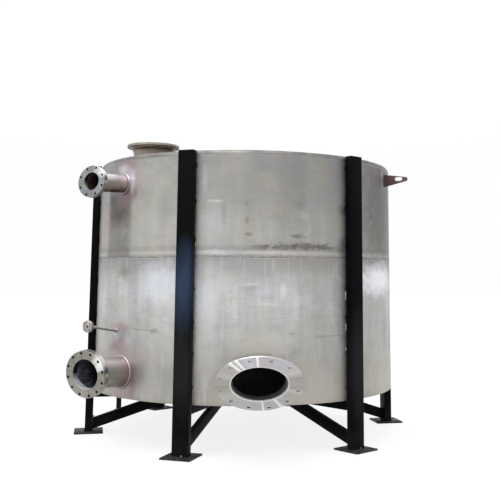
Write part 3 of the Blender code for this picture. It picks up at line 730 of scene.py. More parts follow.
# %% Finishes of the sheets
# the pale bands at 1.371 m and 1.334 m are painted highlights along the middle seam's crease; the thin
# dark ones right at the seam are the joint
upper_sheet = rolled_stainless("rolled_stainless_upper_sheets", [
    (0.0, "#9c9b98"), (0.575, "#9e9d9a"), (0.60, "#afaeac"), (0.66, "#b4b3b0"), (0.74, "#aeadab"),
    (0.80, "#a4a4a2"), (0.88, "#9c9c9b"), (1.0, "#949494")], "#929291", "#888886",
    [("#85827d", 1.405, 0.022, 0.32, 1), ("#cfcdcb", 1.371, 0.016, 0.35, 1),
     ("#6f6c68", 1.3452, 0.0040, 0.75, 0)], upper_marks, None, upper_strips)
lower_sheet = rolled_stainless("rolled_stainless_lower_sheets", [
    (0.0, "#a6a39c"), (0.10, "#a7a5a1"), (0.154, "#b2b1ad"), (0.21, "#bbbbb8"), (0.267, "#c0c0be"),
    (0.32, "#c6c7c7"), (0.385, "#cdcecf"), (0.44, "#cacbce"), (0.49, "#c1c2c4"), (0.53, "#a7a8a9"),
    (0.57, "#9d9d9d")], "#9f9f9f", "#989896",
    [("#5d5a57", 1.3420, 0.0050, 0.85, 0), ("#c4c2c1", 1.334, 0.0045, 0.35, 0),
     ("#8a8783", 1.327, 0.0040, 0.4, 0), ("#99978f", 0.345, 0.012, 0.5, 1)],
    lower_marks, "#dcdde2")
roof_sheet = rolled_stainless("rolled_stainless_roof", [
    (0.0, "#8e8d8b"), (0.975, "#8f8e8c"), (0.986, "#7d7c7a"), (0.995, "#5c5b5a"),
    (1.0, "#858482")], "#7f7e7d", "#7b7a77",
    [("#a3a2a1", 2.063, 0.005, 0.5, 0), ("#77757a", 2.0575, 0.0025, 0.7, 0)], leg_shadows)
inside_sheet = rolled_stainless("pickled_stainless_inside", [(0.0, "#b9b0ac"), (1.0, "#a39a97")],
                                "#a0989a", "#aaa3a0")
# pickling leaves a dull film on the inside, which takes away most of the mirror
inside_sheet.node_tree.nodes["Principled BSDF"].inputs["Metallic"].default_value = 0.3
print("sheet finishes:", upper_sheet.name, lower_sheet.name, roof_sheet.name, inside_sheet.name)

# %% Finishes of welds and paint
weld = weld_metal("weld_bead_stainless")
# pink heat tint, with a ramp that paints the top pale and the underside dark, as light and shade
pink_weld = drawn_tube("weld_bead_heat_tint_and_painted_light", [
    (0.0, "#5c4b46"), (0.35, "#8d7e83"), (0.6, "#b3a8ac"), (0.85, "#cac1c6"), (1.0, "#d2cacf")],
    lower_root, 0.01, "#b9aeb2", "#aea2a7")


def leg_front(azimuth, z):
    """Point on the outer face of a leg."""
    return wall_point(azimuth, z) + heading(azimuth) * LEG_DEPTH


# painted sheen: paler lengths low on the two front legs, and a cool painted reflection above one of
# them
leg_marks = [("#29292b", leg_front(azimuth, 0.60), (0.13, 0.46), 0.5)
             for azimuth in LEG_AZIMUTHS[1:3]]
leg_marks.append(("#33445c", leg_front(LEG_AZIMUTHS[1], 1.16), (0.13, 0.36), 0.62))
paint = black_enamel("satin_black_enamel_legs", stains=leg_marks)
frame_paint = black_enamel("satin_black_enamel_underframe", "#030304", "#060608", "#141417", 0.05)
plate_paint = black_enamel("worn_grey_primer_plates", "#1a1a1a", "#242423", "#5a5752", 0.30, 0.03)
print("materials:", len(bpy.data.materials))

# %% [markdown]
# ## The shell
#
# Each course is a closed ring of 5 mm sheet. A cylinder with a Solidify modifier would look the same
# from outside, but its cut edges would be open. So the ring is spun from its section, in steps of 1
# degree, and keeps a real thickness where the nozzle holes are cut clean through it. The two courses
# and the roof meet in weld beads, as on the real tank.

# %% A course of the shell
def course(name, z_low, z_high, cutters, material, replaced):
    """A ring of sheet with its holes cut, dull on the inside and finished on the outside."""
    rows = 8
    outer = [(R_OUT, z_low + (z_high - z_low) * i / rows) for i in range(rows + 1)]
    inner = [(R_OUT - WALL, z) for _, z in reversed(outer)]
    bm = spun(outer + inner, 360)
    bmesh.ops.translate(bm, vec=AXIS, verts=bm.verts)
    for cutter in cutters:
        bm = cut(bm, cutter)
    for face in bm.faces:
        middle = face.calc_center_median() - AXIS
        inward = face.normal.xy.dot(middle.xy) < -0.5 * middle.xy.length
        face.material_index = 1 if inward else 0
    made = finish_piece(bm, name, [material, inside_sheet], replaces=replaced)
    print(name, "has", len(made.data.polygons), "faces")


# %% Holes in the shell, and its two courses
# a hole is this much smaller than the outside of its pipe, so that no light passes between them
LAP = 0.001
HALF_SEAM = 0.0002


def pipe_hole(name):
    """Bar that cuts a nozzle's hole in the shell."""
    n = NOZZLES[name]
    return placed(rod(n["pipe"] - LAP, -n["reach"] - 0.30, 0.0, 64), n["run_frame"])


mouth_hole = placed(rod(DUCT_RADIUS - LAP, -0.60, 0.35, 96, SQUASH), MOUTH_LEVEL)
course("shell_lower_course", Z_BOTTOM, Z_SEAM - HALF_SEAM,
       [pipe_hole("lower_inlet"), pipe_hole("sample_branch"), mouth_hole], lower_sheet,
       ["lower_shell_sheet_%d" % i for i in (1, 2, 3)])
course("shell_upper_course", Z_SEAM + HALF_SEAM, Z_ROOF_SEAM - HALF_SEAM,
       [pipe_hole("upper_inlet")], upper_sheet, ["upper_shell_sheet_%d" % i for i in (1, 2, 3)])

# %% [markdown]
# ## The roof
#
# The roof is a shallow cone that turns over a small knuckle into a short upright skirt. A cone with a
# bevelled edge would do, but its sheet would be thicker in the bend. So one profile is drawn for the
# outside and one 5 mm further in, both are spun together about the axis, and the port's hole is cut.

# %% Roof
ROOF_PITCH = math.radians(5.0)
KNUCKLE = 0.030


def roof_line(inset):
    """Profile of the roof from its skirt to its middle, so far inside the outer skin."""
    bend_r, bend_z = R_OUT - KNUCKLE, Z_RIM - KNUCKLE
    points = [(R_OUT - inset, Z_ROOF_SEAM + HALF_SEAM)]
    for i in range(9):
        angle = (math.pi / 2 - ROOF_PITCH) * i / 8
        points.append((bend_r + (KNUCKLE - inset) * math.cos(angle),
                       bend_z + (KNUCKLE - inset) * math.sin(angle)))
    edge_r, edge_z = points[-1]
    for share in (0.75, 0.5, 0.25, 0.0):
        points.append((edge_r * share, edge_z + edge_r * (1 - share) * math.tan(ROOF_PITCH)))
    return points


bm = spun(roof_line(0.0) + list(reversed(roof_line(WALL))), 360)
bmesh.ops.translate(bm, vec=AXIS, verts=bm.verts)
bm = cut(bm, placed(rod(PORT_PIPE - LAP, -0.45, 0.1, 96), PORT))
finish_piece(bm, "roof_cone", roof_sheet, replaces=["roof"])
print("roof rises to", round(max(z for _, z in roof_line(0.0)), 3))

# %% Bottom plate
# it keeps its solid, because it is flat and shows only through the mouth and from below
plate_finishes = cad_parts["bottom_plate"].data.materials
plate_finishes.clear()
plate_finishes.append(inside_sheet)
print("bottom plate between", low[2], "and", high[2])

# %% [markdown]
# ## Weld beads
#
# A weld by hand is a bead with a ripple every few millimetres. A plain torus would show one clean
# line of light. So a round-bevelled curve is laid along a line of points, 4 to 12 mm apart, and its
# thickness swells and shrinks from point to point. It is made a mesh at once and merged.

# %% A weld bead along a line
def bead(name, points, thickness, closed=True, material=None):
    """A rippled bead of so much radius; material is the bright weld metal unless given."""
    curve = bpy.data.curves.new(name, "CURVE")
    curve.dimensions = "3D"
    curve.bevel_depth = thickness
    curve.bevel_resolution = 1
    curve.use_fill_caps = not closed
    line = curve.splines.new("POLY")
    line.points.add(len(points) - 1)
    for index, (point, place) in enumerate(zip(line.points, points)):
        point.co = (*place, 1.0)
        point.radius = 1.0 if index % 2 else 0.82
    line.use_cyclic_u = closed
    guide = bpy.data.objects.new(name + "_line", curve)
    bpy.context.scene.collection.objects.link(guide)
    depsgraph = bpy.context.evaluated_depsgraph_get()
    mesh = bpy.data.meshes.new_from_object(guide.evaluated_get(depsgraph))
    bpy.data.objects.remove(guide, do_unlink=True)
    bm = bmesh.new()
    bm.from_mesh(mesh)
    bpy.data.meshes.remove(mesh)
    bmesh.ops.remove_doubles(bm, verts=bm.verts, dist=SAME_POINT)
    bmesh.ops.recalc_face_normals(bm, faces=bm.faces)
    finish_piece(bm, name, material or weld, smooth=80.0)


# %% Lines for the beads
def ring_points(centre, side, up, radius, step, squash=1.0):
    """Points about step apart on a circle in the plane of side and up, or on an oval."""
    count = int(math.tau * radius / step)
    return [centre + side * (radius * math.cos(math.tau * i / count))
            + up * (radius * squash * math.sin(math.tau * i / count)) for i in range(count)]


def on_wall(point, direction, radius):
    """Slide a point outwards along direction until it is this far from the tank's axis."""
    p = point - AXIS
    a = direction.x ** 2 + direction.y ** 2
    b = p.x * direction.x + p.y * direction.y
    c = p.x ** 2 + p.y ** 2 - radius ** 2
    return point + direction * ((-b + math.sqrt(b * b - a * c)) / a)


def on_plane(point, direction, origin, normal):
    """Slide a point along direction until it lies on a plane."""
    return point + direction * ((origin - point).dot(normal) / direction.dot(normal))


# %% Beads round the shell, the nozzles and the mouth
LEVEL_X, LEVEL_Y = Vector((1, 0, 0)), Vector((0, 1, 0))
for name, z, sunk, thickness in (("seam_bead_middle", Z_SEAM, 0.0032, 0.0042),
                                 ("seam_bead_roof", Z_ROOF_SEAM, 0.0028, 0.0034)):
    bead(name, ring_points(AXIS + UP * z, LEVEL_X, LEVEL_Y, R_OUT - sunk, 0.012), thickness)
for name, n in NOZZLES.items():
    side, lift = n["run_frame"].col[0].xyz, n["run_frame"].col[1].xyz
    size = 0.006 if name == "sample_branch" else 0.0112
    round_pipe = ring_points(n["back"], side, lift, n["pipe"] + size * 0.35, 0.005)
    at_wall = [p - n["along"] * n["reach"] for p in round_pipe]
    bead(name + "_wall_bead", [on_wall(p, n["along"], R_OUT + size * 0.25) for p in at_wall], size,
         True, pink_weld)
    behind = n["back"] - n["facing"] * size * 0.3
    bead(name + "_flange_bead", [on_plane(p, n["along"], behind, n["facing"]) for p in round_pipe],
         size * 0.75, True, pink_weld)
mouth_line = ring_points(MOUTH_CENTRE, LEVEL_X, UP, DUCT_RADIUS + 0.002, 0.006, SQUASH)
bead("front_mouth_wall_bead", [on_wall(p, -LEVEL_Y, R_OUT + 0.0012) for p in mouth_line], 0.0055)
print("bead round the mouth has", len(mouth_line), "ripples")

# %% [markdown]
# ## Flanges
#
# A flange is a thick ring turned on a lathe, and its bolt holes are drilled afterwards. A tube
# primitive would give it knife-sharp edges, and holes that are only painted on would show no depth.
# So it is made as it is made in the shop: a section with small chamfers is spun, and the holes are
# cut through it. Each hole and the bore then get finishes of their own.

# %% A turned and drilled flange
def flange(name, place, size, material, replaced, chamfer=0.0015, underside=None, lining=None):
    """size has outer, bore and hole as radii, thick, and bolts on a circle from the first."""
    outer, bore, thick = size["outer"], size["bore"], size["thick"]
    circle, hole = size["circle"], size["hole"]
    section = [(bore, -thick + chamfer), (bore + chamfer, -thick), (outer - chamfer, -thick),
               (outer, -thick + chamfer), (outer, -chamfer), (outer - chamfer, 0.0),
               (bore + chamfer, 0.0), (bore, -chamfer)]
    bm = spun(section, 96)
    drills = bmesh.new()
    for number in range(size["bolts"]):
        angle = math.radians(size["first"] + 360.0 * number / size["bolts"])
        spot = Matrix.Translation((circle * math.cos(angle), circle * math.sin(angle), -thick / 2))
        bmesh.ops.create_cone(drills, cap_ends=True, segments=24, radius1=hole, radius2=hole,
                              depth=thick + 0.01, matrix=spot)
    bm = cut(bm, drills)
    for part in bm.faces:
        reach, upright = part.calc_center_median().xy.length, abs(part.normal.z) < 0.5
        in_hole = upright and abs(reach - circle) < hole * 1.1
        in_bore = upright and reach < bore + 0.001
        behind = 3 if part.normal.z < -0.5 else 0
        part.material_index = 1 if in_hole else 2 if in_bore else behind
    finishes = [material, drilled, lining or bored, underside or material]
    finish_piece(bm, name, finishes, place, [replaced])
    print(name, "is", round(2000 * outer), "mm across with", size["bolts"], "holes")


# %% Finishes of the flanges
drilled = weld_metal("drilled_hole_oxide_film", "#7e7e80", "#5c5c5e")
# the underside of the port's flange is painted dark brown, as shade
shaded = weld_metal("painted_shade_flange_underside", "#40382f", "#2b2620")
# bright bore walls for the mouth and the port, with flecks of painted glare
bored = bore_steel("bored_stainless_bright", MOUTH_CENTRE, 9.0, "#dfe1e4", "#dfe1e4", "#f2f3f5", 0.6)
# face, worn face and spokes of each side flange; the spokes are painted highlights and shade
SIDE_FACES = {
    "lower_inlet": ("#8f8c85", "#76736c", [(25, 16, "#dfe1e7", 0.75), (72, 20, "#85847c", 0.5),
                                           (-120, 45, "#a5a29c", 0.5)]),
    "upper_inlet": ("#989a9c", "#77797d", [(58, 26, "#d6d9dc", 0.7), (-100, 50, "#8a8d92", 0.6),
                                           (0, 24, "#a0a3aa", 0.5)]),
    "sample_branch": ("#a6a39f", "#858079", [(60, 30, "#d6d6d6", 0.6)]),
}
# reach of the light from the lower left of the bore, with its lit, dark and glaring colours
LININGS = {
    "lower_inlet": (0.122, "#d4d9e2", "#1b1b1e", "#ffffff", 0.85),
    "upper_inlet": (0.085, "#a4a6a0", "#1d1514", "#c9cbc4", 0.5),
    "sample_branch": (0.010, "#55534f", "#1b1a19", "#55534f", 0.3),
}
# painted highlights and darker painted reflections round a rim: tint, angle, reach as a share of the
# rim's radius, strength
RIM_GLINTS = (("#fbfaf8", 38.0, 0.50, 0.95), ("#5f636b", 10.0, 0.26, 0.85),
              ("#f6f6f6", -2.0, 0.12, 0.8), ("#8f8c77", -20.0, 0.32, 0.6))


def low_left(n):
    """Lower left point of a nozzle's bore, which the light from its mouth reaches best."""
    side, lift = n["frame"].col[0].xyz, n["frame"].col[1].xyz
    return n["face"] - lift * n["bore"] * 0.92 - side * n["bore"] * 0.40


print("spokes on the side flanges:", sum(len(spokes) for _, _, spokes in SIDE_FACES.values()))


# %% Flanges of the side nozzles
for name, n in NOZZLES.items():
    rim = []
    for tint, angle, share, strength in RIM_GLINTS if name != "sample_branch" else ():
        turn = math.radians(angle)
        spot = (n["outer"] * math.cos(turn), n["outer"] * math.sin(turn), -n["thick"] * 0.6)
        rim.append((tint, spot, n["outer"] * share, strength))
    lining = bore_steel("bored_stainless_" + name, low_left(n), *LININGS[name])
    tone, worn, spokes = SIDE_FACES[name]
    face = turned_stainless("turned_stainless_" + name, n["frame"], tone, worn, 0.34, spokes, None,
                            rim)
    flange(name + "_ring", n["frame"], n, face, name + "_flange", lining=lining)

# %% Ring of the mouth
# painted highlights and shade on the mouth's face: angle and half width in degrees, tint and strength
MOUTH_SPOKES = [(80, 62, "#c3c0c8", 0.65), (-90, 60, "#b8b7bd", 0.6), (0, 34, "#a3a19b", 0.65),
                (180, 34, "#a19f99", 0.65), (130, 3.6, "#f2f2f2", 0.9), (121, 3.0, "#f4f4f4", 0.9),
                (108, 9.0, "#cfd6dc", 0.5), (94, 2.4, "#f2f2f2", 0.85), (158, 8.0, "#cbcac7", 0.3),
                (-84, 2.2, "#ececee", 0.8), (-59, 3.2, "#f0f0f0", 0.75), (32, 9.0, "#cfccce", 0.35),
                (-17, 7.0, "#cfccc6", 0.35), (-151, 9.0, "#c3c0c0", 0.35)]
MOUTH_LIP = (MOUTH_RING["bore"] + 0.0075, "#dddad6")
face = turned_stainless("turned_stainless_mouth", MOUTH, "#b0aea9", "#9d9b96", 0.36, MOUTH_SPOKES,
                        MOUTH_LIP)
flange("front_mouth_ring", MOUTH, MOUTH_RING, face, "front_mouth_flange")

# %% Flange of the roof port
face = turned_stainless("turned_stainless_port", PORT, "#aba59a", "#7f796c", 0.38)
flange("roof_port_ring", PORT, PORT_RING, face, "roof_port_flange", 0.003, shaded)

# %% [markdown]
# ## Pipes, duct and neck
#
# The pipes run from inside the wall to the backs of their flanges. A pipe could simply be pushed
# through both, but then its end would stick out of the aslant face. So each is spun from its section,
# trimmed inside to the round of the wall and sliced outside by the plane of the flange's back. The
# mouth's duct is made the same way and flattened to an oval, because its round ring leans back.

# %% A pipe through the wall
def pipe(name, place, radius, wall, front, back, finishes, replaced, slope, squash=1.0,
         trim=R_OUT - WALL):
    """slope is the plane that slices off the outer end, and trim the radius where the inner ends.

    finishes are those of its outside and inside; front and back are its ends before trimming.
    """
    section = [(radius - wall, back), (radius, back), (radius, front), (radius - wall, front)]
    bm = spun(section, 96)
    bmesh.ops.scale(bm, vec=(1.0, squash, 1.0), verts=bm.verts)
    placed(bm, place)
    hollow = placed(rod(trim, -0.3, 3.0, 180), Matrix.Translation(AXIS))
    bm = cut(bm, hollow)
    block = bmesh.new()
    bmesh.ops.create_cube(block, size=1.4)
    bm = cut(bm, placed(block, slope @ Matrix.Translation((0, 0, 0.7 + GAP))))
    axis = place.col[2].xyz
    for face in bm.faces:
        arm = face.calc_center_median() - place.translation
        arm -= axis * arm.dot(axis)
        face.material_index = 1 if face.normal.dot(arm) < -0.5 * arm.length else 0
    finish_piece(bm, name, finishes, replaces=[replaced])
    print(name, "is", round(2000 * radius), "mm across")


# %% Colours of the pipes
# painted light and shade, from the underside of each pipe, 0, to its top, 1
AROUND_PIPE = {
    "lower_inlet": [(0.0, "#4a3f33"), (0.12, "#645d4b"), (0.25, "#878477"), (0.42, "#9f9f94"),
                    (0.56, "#a9a9a1"), (0.74, "#b8b3b2"), (0.90, "#d6ced2"), (1.0, "#ddd6da")],
    "upper_inlet": [(0.0, "#3f322b"), (0.08, "#584a40"), (0.16, "#8b8272"), (0.36, "#a29a8e"),
                    (0.50, "#aca5a0"), (0.75, "#c0b8b9"), (0.92, "#d8d1d4"), (1.0, "#ded7da")],
    "sample_branch": [(0.0, "#6a645c"), (0.30, "#8d877e"), (0.55, "#b5b1aa"), (0.80, "#cfccc8"),
                      (1.0, "#e0deda")],
}
# painted light inside each pipe, with the same five values as for the linings of the flanges
BORES = {
    "lower_inlet": (0.215, "#4c5059", "#131315", "#b4bbc6", 0.42),
    "upper_inlet": (0.16, "#3d2c2a", "#241716", "#4e3d39", 0.4),
    "sample_branch": (0.05, "#2c2a29", "#141313", "#3a3837", 0.3),
}

# %% Pipes of the side nozzles
for name, n in NOZZLES.items():
    blotch = "#8f8a84" if name == "sample_branch" else "#9c938c"
    tube = drawn_tube("drawn_stainless_" + name, AROUND_PIPE[name], n["root"], n["pipe"] * 1.6,
                      "#b09ba4", blotch)
    bore = bore_steel("drawn_stainless_bore_" + name, low_left(n), *BORES[name])
    end_plane = n["frame"] @ Matrix.Translation((0, 0, -n["thick"] - GAP))
    pipe(name + "_tube", n["run_frame"], n["pipe"], n["wall"], 0.10, -n["reach"] - 0.25, [tube, bore],
         name + "_pipe", end_plane)

# %% Duct of the mouth
# it runs on inside the tank, where its lower wall shows through the mouth
DUCT_END_RADIUS = 1.06
duct_steel = drawn_tube("rolled_stainless_mouth_duct", [(0.0, "#8a8781"), (1.0, "#8f8c86")],
                        MOUTH_CENTRE + Vector((0, 0.25, 0)), 0.3, "#86827b", "#77736c")
# the duct's inside is painted light near the bottom of the mouth and dark further in
duct_bore = bore_steel("rolled_stainless_duct_inside", MOUTH_CENTRE - UP * 0.13, 0.62, "#a3a4a7",
                       "#3b3534", "#dcdcdf", 0.7)
end_plane = MOUTH @ Matrix.Translation((0, 0, -MOUTH_RING["thick"] - GAP))
pipe("front_mouth_neck", MOUTH_LEVEL, DUCT_RADIUS, DUCT_WALL, 0.30, -0.48, [duct_steel, duct_bore],
     "front_mouth_duct", end_plane, SQUASH, DUCT_END_RADIUS)

# %% Neck and hub of the roof port
# painted shadow: a dark brown band just under the flange, then a paler band lower down; the neck's ramp
# also paints faces that look down darker, as shade
under_rim = [("#4c4029", PORT.translation.z - 0.030, 0.030, 0.85),
             ("#8f9089", PORT.translation.z - 0.130, 0.050, 0.5)]
neck_steel = drawn_tube("rolled_stainless_port_neck", [(0.0, "#4f4436"), (0.5, "#a0948a"),
                                                       (1.0, "#a79b8f")],
                        PORT.translation, 0.01, "#6b5a46", "#85786b", under_rim)
bm = spun([(PORT_PIPE - PORT_WALL, -0.243), (PORT_PIPE, -0.243), (PORT_PIPE, -0.004),
           (PORT_PIPE - PORT_WALL, -0.004)], 96)
finish_piece(bm, "roof_port_collar", neck_steel, PORT, ["roof_port_neck"])
# a tapered hub carries the flange down into the neck, clear of the bolt holes
hub = [(0.1860, -0.0245), (0.1830, -0.034), (0.1760, -0.048), (0.1700, -0.064), (0.1650, -0.086),
       (0.1605, -0.110), (PORT_PIPE + GAP, -0.110), (PORT_PIPE + GAP, -0.0245)]
finish_piece(spun(hub, 96), "roof_port_hub", neck_steel, PORT)
print("hub tapers from", hub[0][0], "to", hub[5][0])

# %% Welds of the roof port
under_flange = PORT.translation - UP * (PORT_RING["thick"] + 0.001)
bead("roof_port_flange_bead", ring_points(under_flange, LEVEL_X, LEVEL_Y, hub[0][0] + 0.0005, 0.008),
     0.0030)
port_foot = ring_points(PORT.translation, LEVEL_X, LEVEL_Y, PORT_PIPE + 0.0015, 0.008)
# each point drops to the sloping roof, whose cone starts where the knuckle ends
cone_radius = R_OUT - KNUCKLE + KNUCKLE * math.sin(ROOF_PITCH)
cone_z = Z_RIM - KNUCKLE + KNUCKLE * math.cos(ROOF_PITCH)
for point in port_foot:
    point.z = cone_z + (cone_radius - (point - AXIS).xy.length) * math.tan(ROOF_PITCH)
bead("roof_port_foot_bead", port_foot, 0.005)
print("foot of the port between", round(min(p.z for p in port_foot), 3), "and",
      round(max(p.z for p in port_foot), 3))

# %% [markdown]
# ## Legs and underframe
#
# The legs are 120 by 60 mm hollow section with a capped top. Such tube is rolled with rounded corners,
# and they catch the light as thin lines down each leg. A Bevel modifier would round the cap as much as
# the corners, so the upright edges get one bevel and the cap a smaller one. Each leg is held to the
# shell by short stitch welds, which were painted over together with the leg. The foot plates, beams
# and braces are plain, so a copy of each solid with its edges rounded does for them.

# %% Legs
FOOT_THICK = 0.012


def leg(index):
    """A leg from its foot plate to its cap, open below."""
    low_z, high_z = FOOT_THICK + GAP, LEG_TOP
    bm = bmesh.new()
    bmesh.ops.create_cube(bm, size=1.0)
    bmesh.ops.scale(bm, vec=(LEG_DEPTH, LEG_WIDTH, high_z - low_z), verts=bm.verts)
    bmesh.ops.translate(bm, vec=(0, 0, (high_z + low_z) / 2), verts=bm.verts)
    upright = [e for e in bm.edges if abs(e.verts[0].co.z - e.verts[1].co.z) > 1.0]
    bmesh.ops.bevel(bm, geom=upright, offset=0.0075, segments=4, profile=0.5, affect="EDGES",
                    material=-1)
    rim = [e for e in bm.edges if min(v.co.z for v in e.verts) > high_z - 0.001]
    bmesh.ops.bevel(bm, geom=rim, offset=0.002, segments=2, profile=0.5, affect="EDGES", material=-1)
    under = [f for f in bm.faces if f.normal.z < -0.9]
    bmesh.ops.delete(bm, geom=under, context="FACES")
    bmesh.ops.recalc_face_normals(bm, faces=bm.faces)
    bmesh.ops.solidify(bm, geom=list(bm.faces), thickness=0.005)
    finish_piece(bm, "leg_post_%d" % (index + 1), paint,
                 outward(LEG_AZIMUTHS[index], LEG_RADIUS), ["leg_%d" % (index + 1)], 50.0)


# %% Stitch welds between the legs and the shell
def stitch(name, azimuth, side, z, length, material, thickness=0.0042):
    """A short upright bead in the corner beside a leg. side is -1 for its left, 1 for its right."""
    sideways = math.degrees(math.asin(side * (LEG_WIDTH / 2 + 0.0025) / R_OUT))
    count = max(4, int(length / 0.004))
    points = [wall_point(azimuth + sideways, z + length * (i / count - 0.5))
              + heading(azimuth) * 0.002 for i in range(count + 1)]
    bead(name, points, thickness, False, material)


# %% Six legs with their feet, beams, braces and painted welds
STITCH_HEIGHTS = (0.43, 0.66, 0.91, 1.15, 1.46, 1.70, 1.97)
for index in range(6):
    leg(index)
    number = index + 1
    rounded_solid("foot_plate_%d" % number, "foot_%d" % number, plate_paint, 0.0012)
    for kind in ("radial_beam", "brace"):
        node = "%s_%d" % (kind, number)
        rounded_solid(node, node + "_tube", frame_paint, 0.003, 3)
    for row, z in enumerate(STITCH_HEIGHTS):
        for side in (-1, 1):
            # hand work, so each weld sits a little off its row and has a length of its own
            z += 0.03 * math.sin(5.0 * row + 2.0 * index + side)
            length = 0.022 + 0.018 * math.sin(3.0 * row + index - side) ** 2
            label = "leg_%d_stitch_%d_%s" % (number, row + 1, "left" if side < 0 else "right")
            stitch(label, LEG_AZIMUTHS[index], side, z, length, paint, 0.0026)
print("painted stitch welds:", 6 * 2 * len(STITCH_HEIGHTS))

# %% Bare stitch welds
# beside leg 3, by height and length, and one beside leg 2
BARE_STITCHES = ((0.700, 0.020), (0.855, 0.045), (1.075, 0.060))
for spot, (z, length) in enumerate(BARE_STITCHES):
    stitch("leg_3_bare_stitch_%d" % (spot + 1), LEG_AZIMUTHS[2], -1, z, length, weld)
stitch("leg_2_bare_stitch", LEG_AZIMUTHS[1], 1, 1.432, 0.030, weld)
print("bare stitch welds:", len(BARE_STITCHES) + 1)

# %% [markdown]
# ## The ladder
#
# The ladder at the back left is welded from straight bars and painted like the legs. It could be
# modelled again, bar by bar, but its solid already has the true form. So the solid's own mesh is
# copied and its outer edges are rounded by 1 mm, which is enough for them to catch the light.

# %% Ladder
rounded_solid("ladder", "ladder_frame", paint, 0.001, 1)

# %% [markdown]
# ## Foot welds
#
# Each leg stands on its foot plate in a weld along its front. A plain bevelled strip would do from
# afar, but the weld was laid by hand. So it is a bead like those on the shell, painted over with the
# leg, and a short length of it is left bare.

# %% Welds at the foot of each leg
for index in range(6):
    edge = outward(LEG_AZIMUTHS[index], LEG_RADIUS)
    front = [edge @ Vector((0.0325, -0.055 + 0.005 * i, 0.0150)) for i in range(23)]
    bead("leg_%d_foot_bead" % (index + 1), front, 0.0045, False, paint)
    bead("leg_%d_bare_bead" % (index + 1), front[13:16], 0.0046, False)
print("each foot bead is", round(1000 * (front[0] - front[-1]).length), "mm long")

# %% [markdown]
# ## The bracket
#
# The bracket on the right is a sheared plate with a slot, and it looks brown, perhaps from the heat of
# its weld. It could be extruded from a drawn outline, but the solid already has the outline and the
# slot. So a copy with rounded edges is used again, and the drawn tube's finish in darker colours.

# %% Bracket on the right
# its finish's ramp paints the underside darker than the top, as shade
ear_steel = drawn_tube("sheared_stainless_ear",
                       [(0.0, "#463634"), (0.5, "#6b5553"), (1.0, "#7f6c69")],
                       wall_point(EAR_AZIMUTH, 1.97), 0.12, "#564244", "#4f403f")
rounded_solid("side_ear", "side_ear_plate", ear_steel, 0.001, 1)

# %% [markdown]
# ## Floor, light and camera
#
# The tank stands in a white studio. Metal shows the room as its reflection, so lamps alone would leave
# it black between their highlights. The room itself is the main light: white behind the tank, a little
# darker where the right side of the wall looks, and brightest overhead. One large soft lamp above adds
# the shine along the tops of the pipes. The camera stands where the photograph was taken from, a
# little over one metre high, and looks slightly up.

# %% Floor
FLOOR_HALF, FLOOR_Z = 60.0, -0.0002
bm = bmesh.new()
bmesh.ops.create_grid(bm, x_segments=1, y_segments=1, size=FLOOR_HALF)
bmesh.ops.translate(bm, vec=(0, 0, FLOOR_Z), verts=bm.verts)
mesh = bpy.data.meshes.new("floor")
bm.to_mesh(mesh)
bm.free()
floor = bpy.data.objects.new("floor", mesh)
bpy.context.scene.collection.objects.link(floor)
material, tree, shader, where = new_material("pale_light_table", 0.0, 0.9)
shader.inputs["Specular IOR Level"].default_value = 0.1
soft = mottle(tree, where, (1.5, 1.5, 1.5), 2.0)
tree.links.new(patches(tree, soft, linear("#7c7c7c"), "#787878", 0.4, 0.6),
               shader.inputs["Base Color"])
shader.inputs["Emission Color"].default_value = (1.0, 1.0, 1.0, 1.0)
shader.inputs["Emission Strength"].default_value = 0.80
mesh.materials.append(material)
print("floor at", FLOOR_Z)

# %% The studio room
world = bpy.data.worlds.new("studio")
world.use_nodes = True
room = world.node_tree
direction = add(room, "ShaderNodeTexCoord", out="Object")
rise = add(room, "ShaderNodeSeparateXYZ", {"Vector": direction}, "Z")
turn = add(room, "ShaderNodeMapRange", {"Value": bearing_of(room, direction), "From Min": -math.pi,
                                        "From Max": math.pi}, "Result")
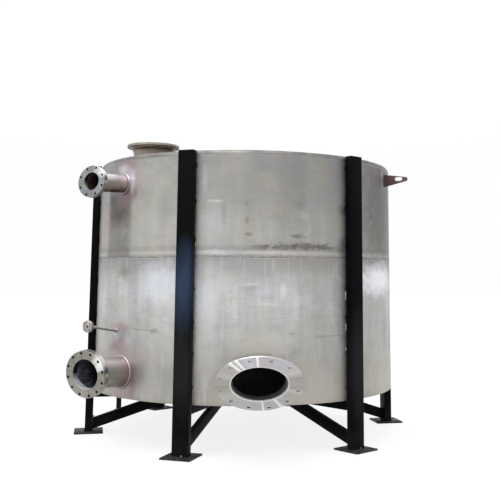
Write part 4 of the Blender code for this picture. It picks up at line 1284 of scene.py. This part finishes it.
# tones of the room's walls by azimuth
WALL_TONES = [(-180, "#ffffff"), (-140, "#fdfdfd"), (-100, "#dcdcdc"), (-65, "#f4f3f1"),
              (-15, "#f2f1ef"), (18, "#d9d9d8"), (45, "#c5c4c2"), (72, "#9e9d9c"), (112, "#a7a6a6"),
              (146, "#fdfdfd"), (180, "#ffffff")]
walls = add(room, "ShaderNodeValToRGB", {"Fac": turn}, "Color",
            [((degrees + 180) / 360, tone) for degrees, tone in WALL_TONES])
ceiling = patches(room, rise, walls, "#ffffff", 0.12, 0.45)
power = add(room, "ShaderNodeMapRange", {"Value": rise, "From Min": 0.15, "From Max": 0.6,
                                         "To Min": 1.0, "To Max": 1.25}, "Result")
room.links.new(ceiling, room.nodes["Background"].inputs["Color"])
room.links.new(power, room.nodes["Background"].inputs["Strength"])
bpy.context.scene.world = world
bpy.context.scene.view_settings.view_transform = "Standard"
print("tones of the room:", len(WALL_TONES))

# %% Soft lamp
LAMP_PLACE = AXIS + Vector((-1.5, -2.5, 6.0))
light = bpy.data.lights.new("overhead_soft", "AREA")
light.shape = "RECTANGLE"
light.size = light.size_y = 5.0
light.energy = 200.0
lamp = bpy.data.objects.new("overhead_soft", light)
bpy.context.scene.collection.objects.link(lamp)
lamp.location = LAMP_PLACE
lamp.rotation_euler = (AXIS + UP - LAMP_PLACE).to_track_quat("-Z", "Y").to_euler()
print("lamp of", light.energy, "W at", [round(c, 2) for c in LAMP_PLACE])

# %% Camera
# the photograph's width, focal length and point straight ahead, in its own pixels
PHOTO_WIDTH, FOCAL, AHEAD_X, AHEAD_Y = 500.0, 803.235, 280.2, 166.95
CAMERA_PLACE = AXIS + Vector((0.0, -6.7974, 1.1929))
yaw, pitch, roll = 0.0428, 0.1385, 0.0054
ahead = Vector((math.sin(yaw) * math.cos(pitch), math.cos(yaw) * math.cos(pitch), math.sin(pitch)))
level = Vector((math.cos(yaw), -math.sin(yaw), 0.0))
above = level.cross(ahead)
right = level * math.cos(roll) + above * math.sin(roll)
top = above * math.cos(roll) - level * math.sin(roll)
lens = bpy.data.cameras.new("camera")
lens.sensor_width = 36.0
lens.lens = FOCAL * lens.sensor_width / PHOTO_WIDTH
lens.shift_x = 0.5 - AHEAD_X / PHOTO_WIDTH
lens.shift_y = AHEAD_Y / PHOTO_WIDTH - 0.5
camera = bpy.data.objects.new("camera", lens)
bpy.context.scene.collection.objects.link(camera)
aim = Matrix((right, top, -ahead)).transposed().to_4x4()
camera.matrix_world = Matrix.Translation(CAMERA_PLACE) @ aim
bpy.context.scene.camera = camera
print("lens of", round(lens.lens, 1), "mm at", [round(c, 3) for c in CAMERA_PLACE])
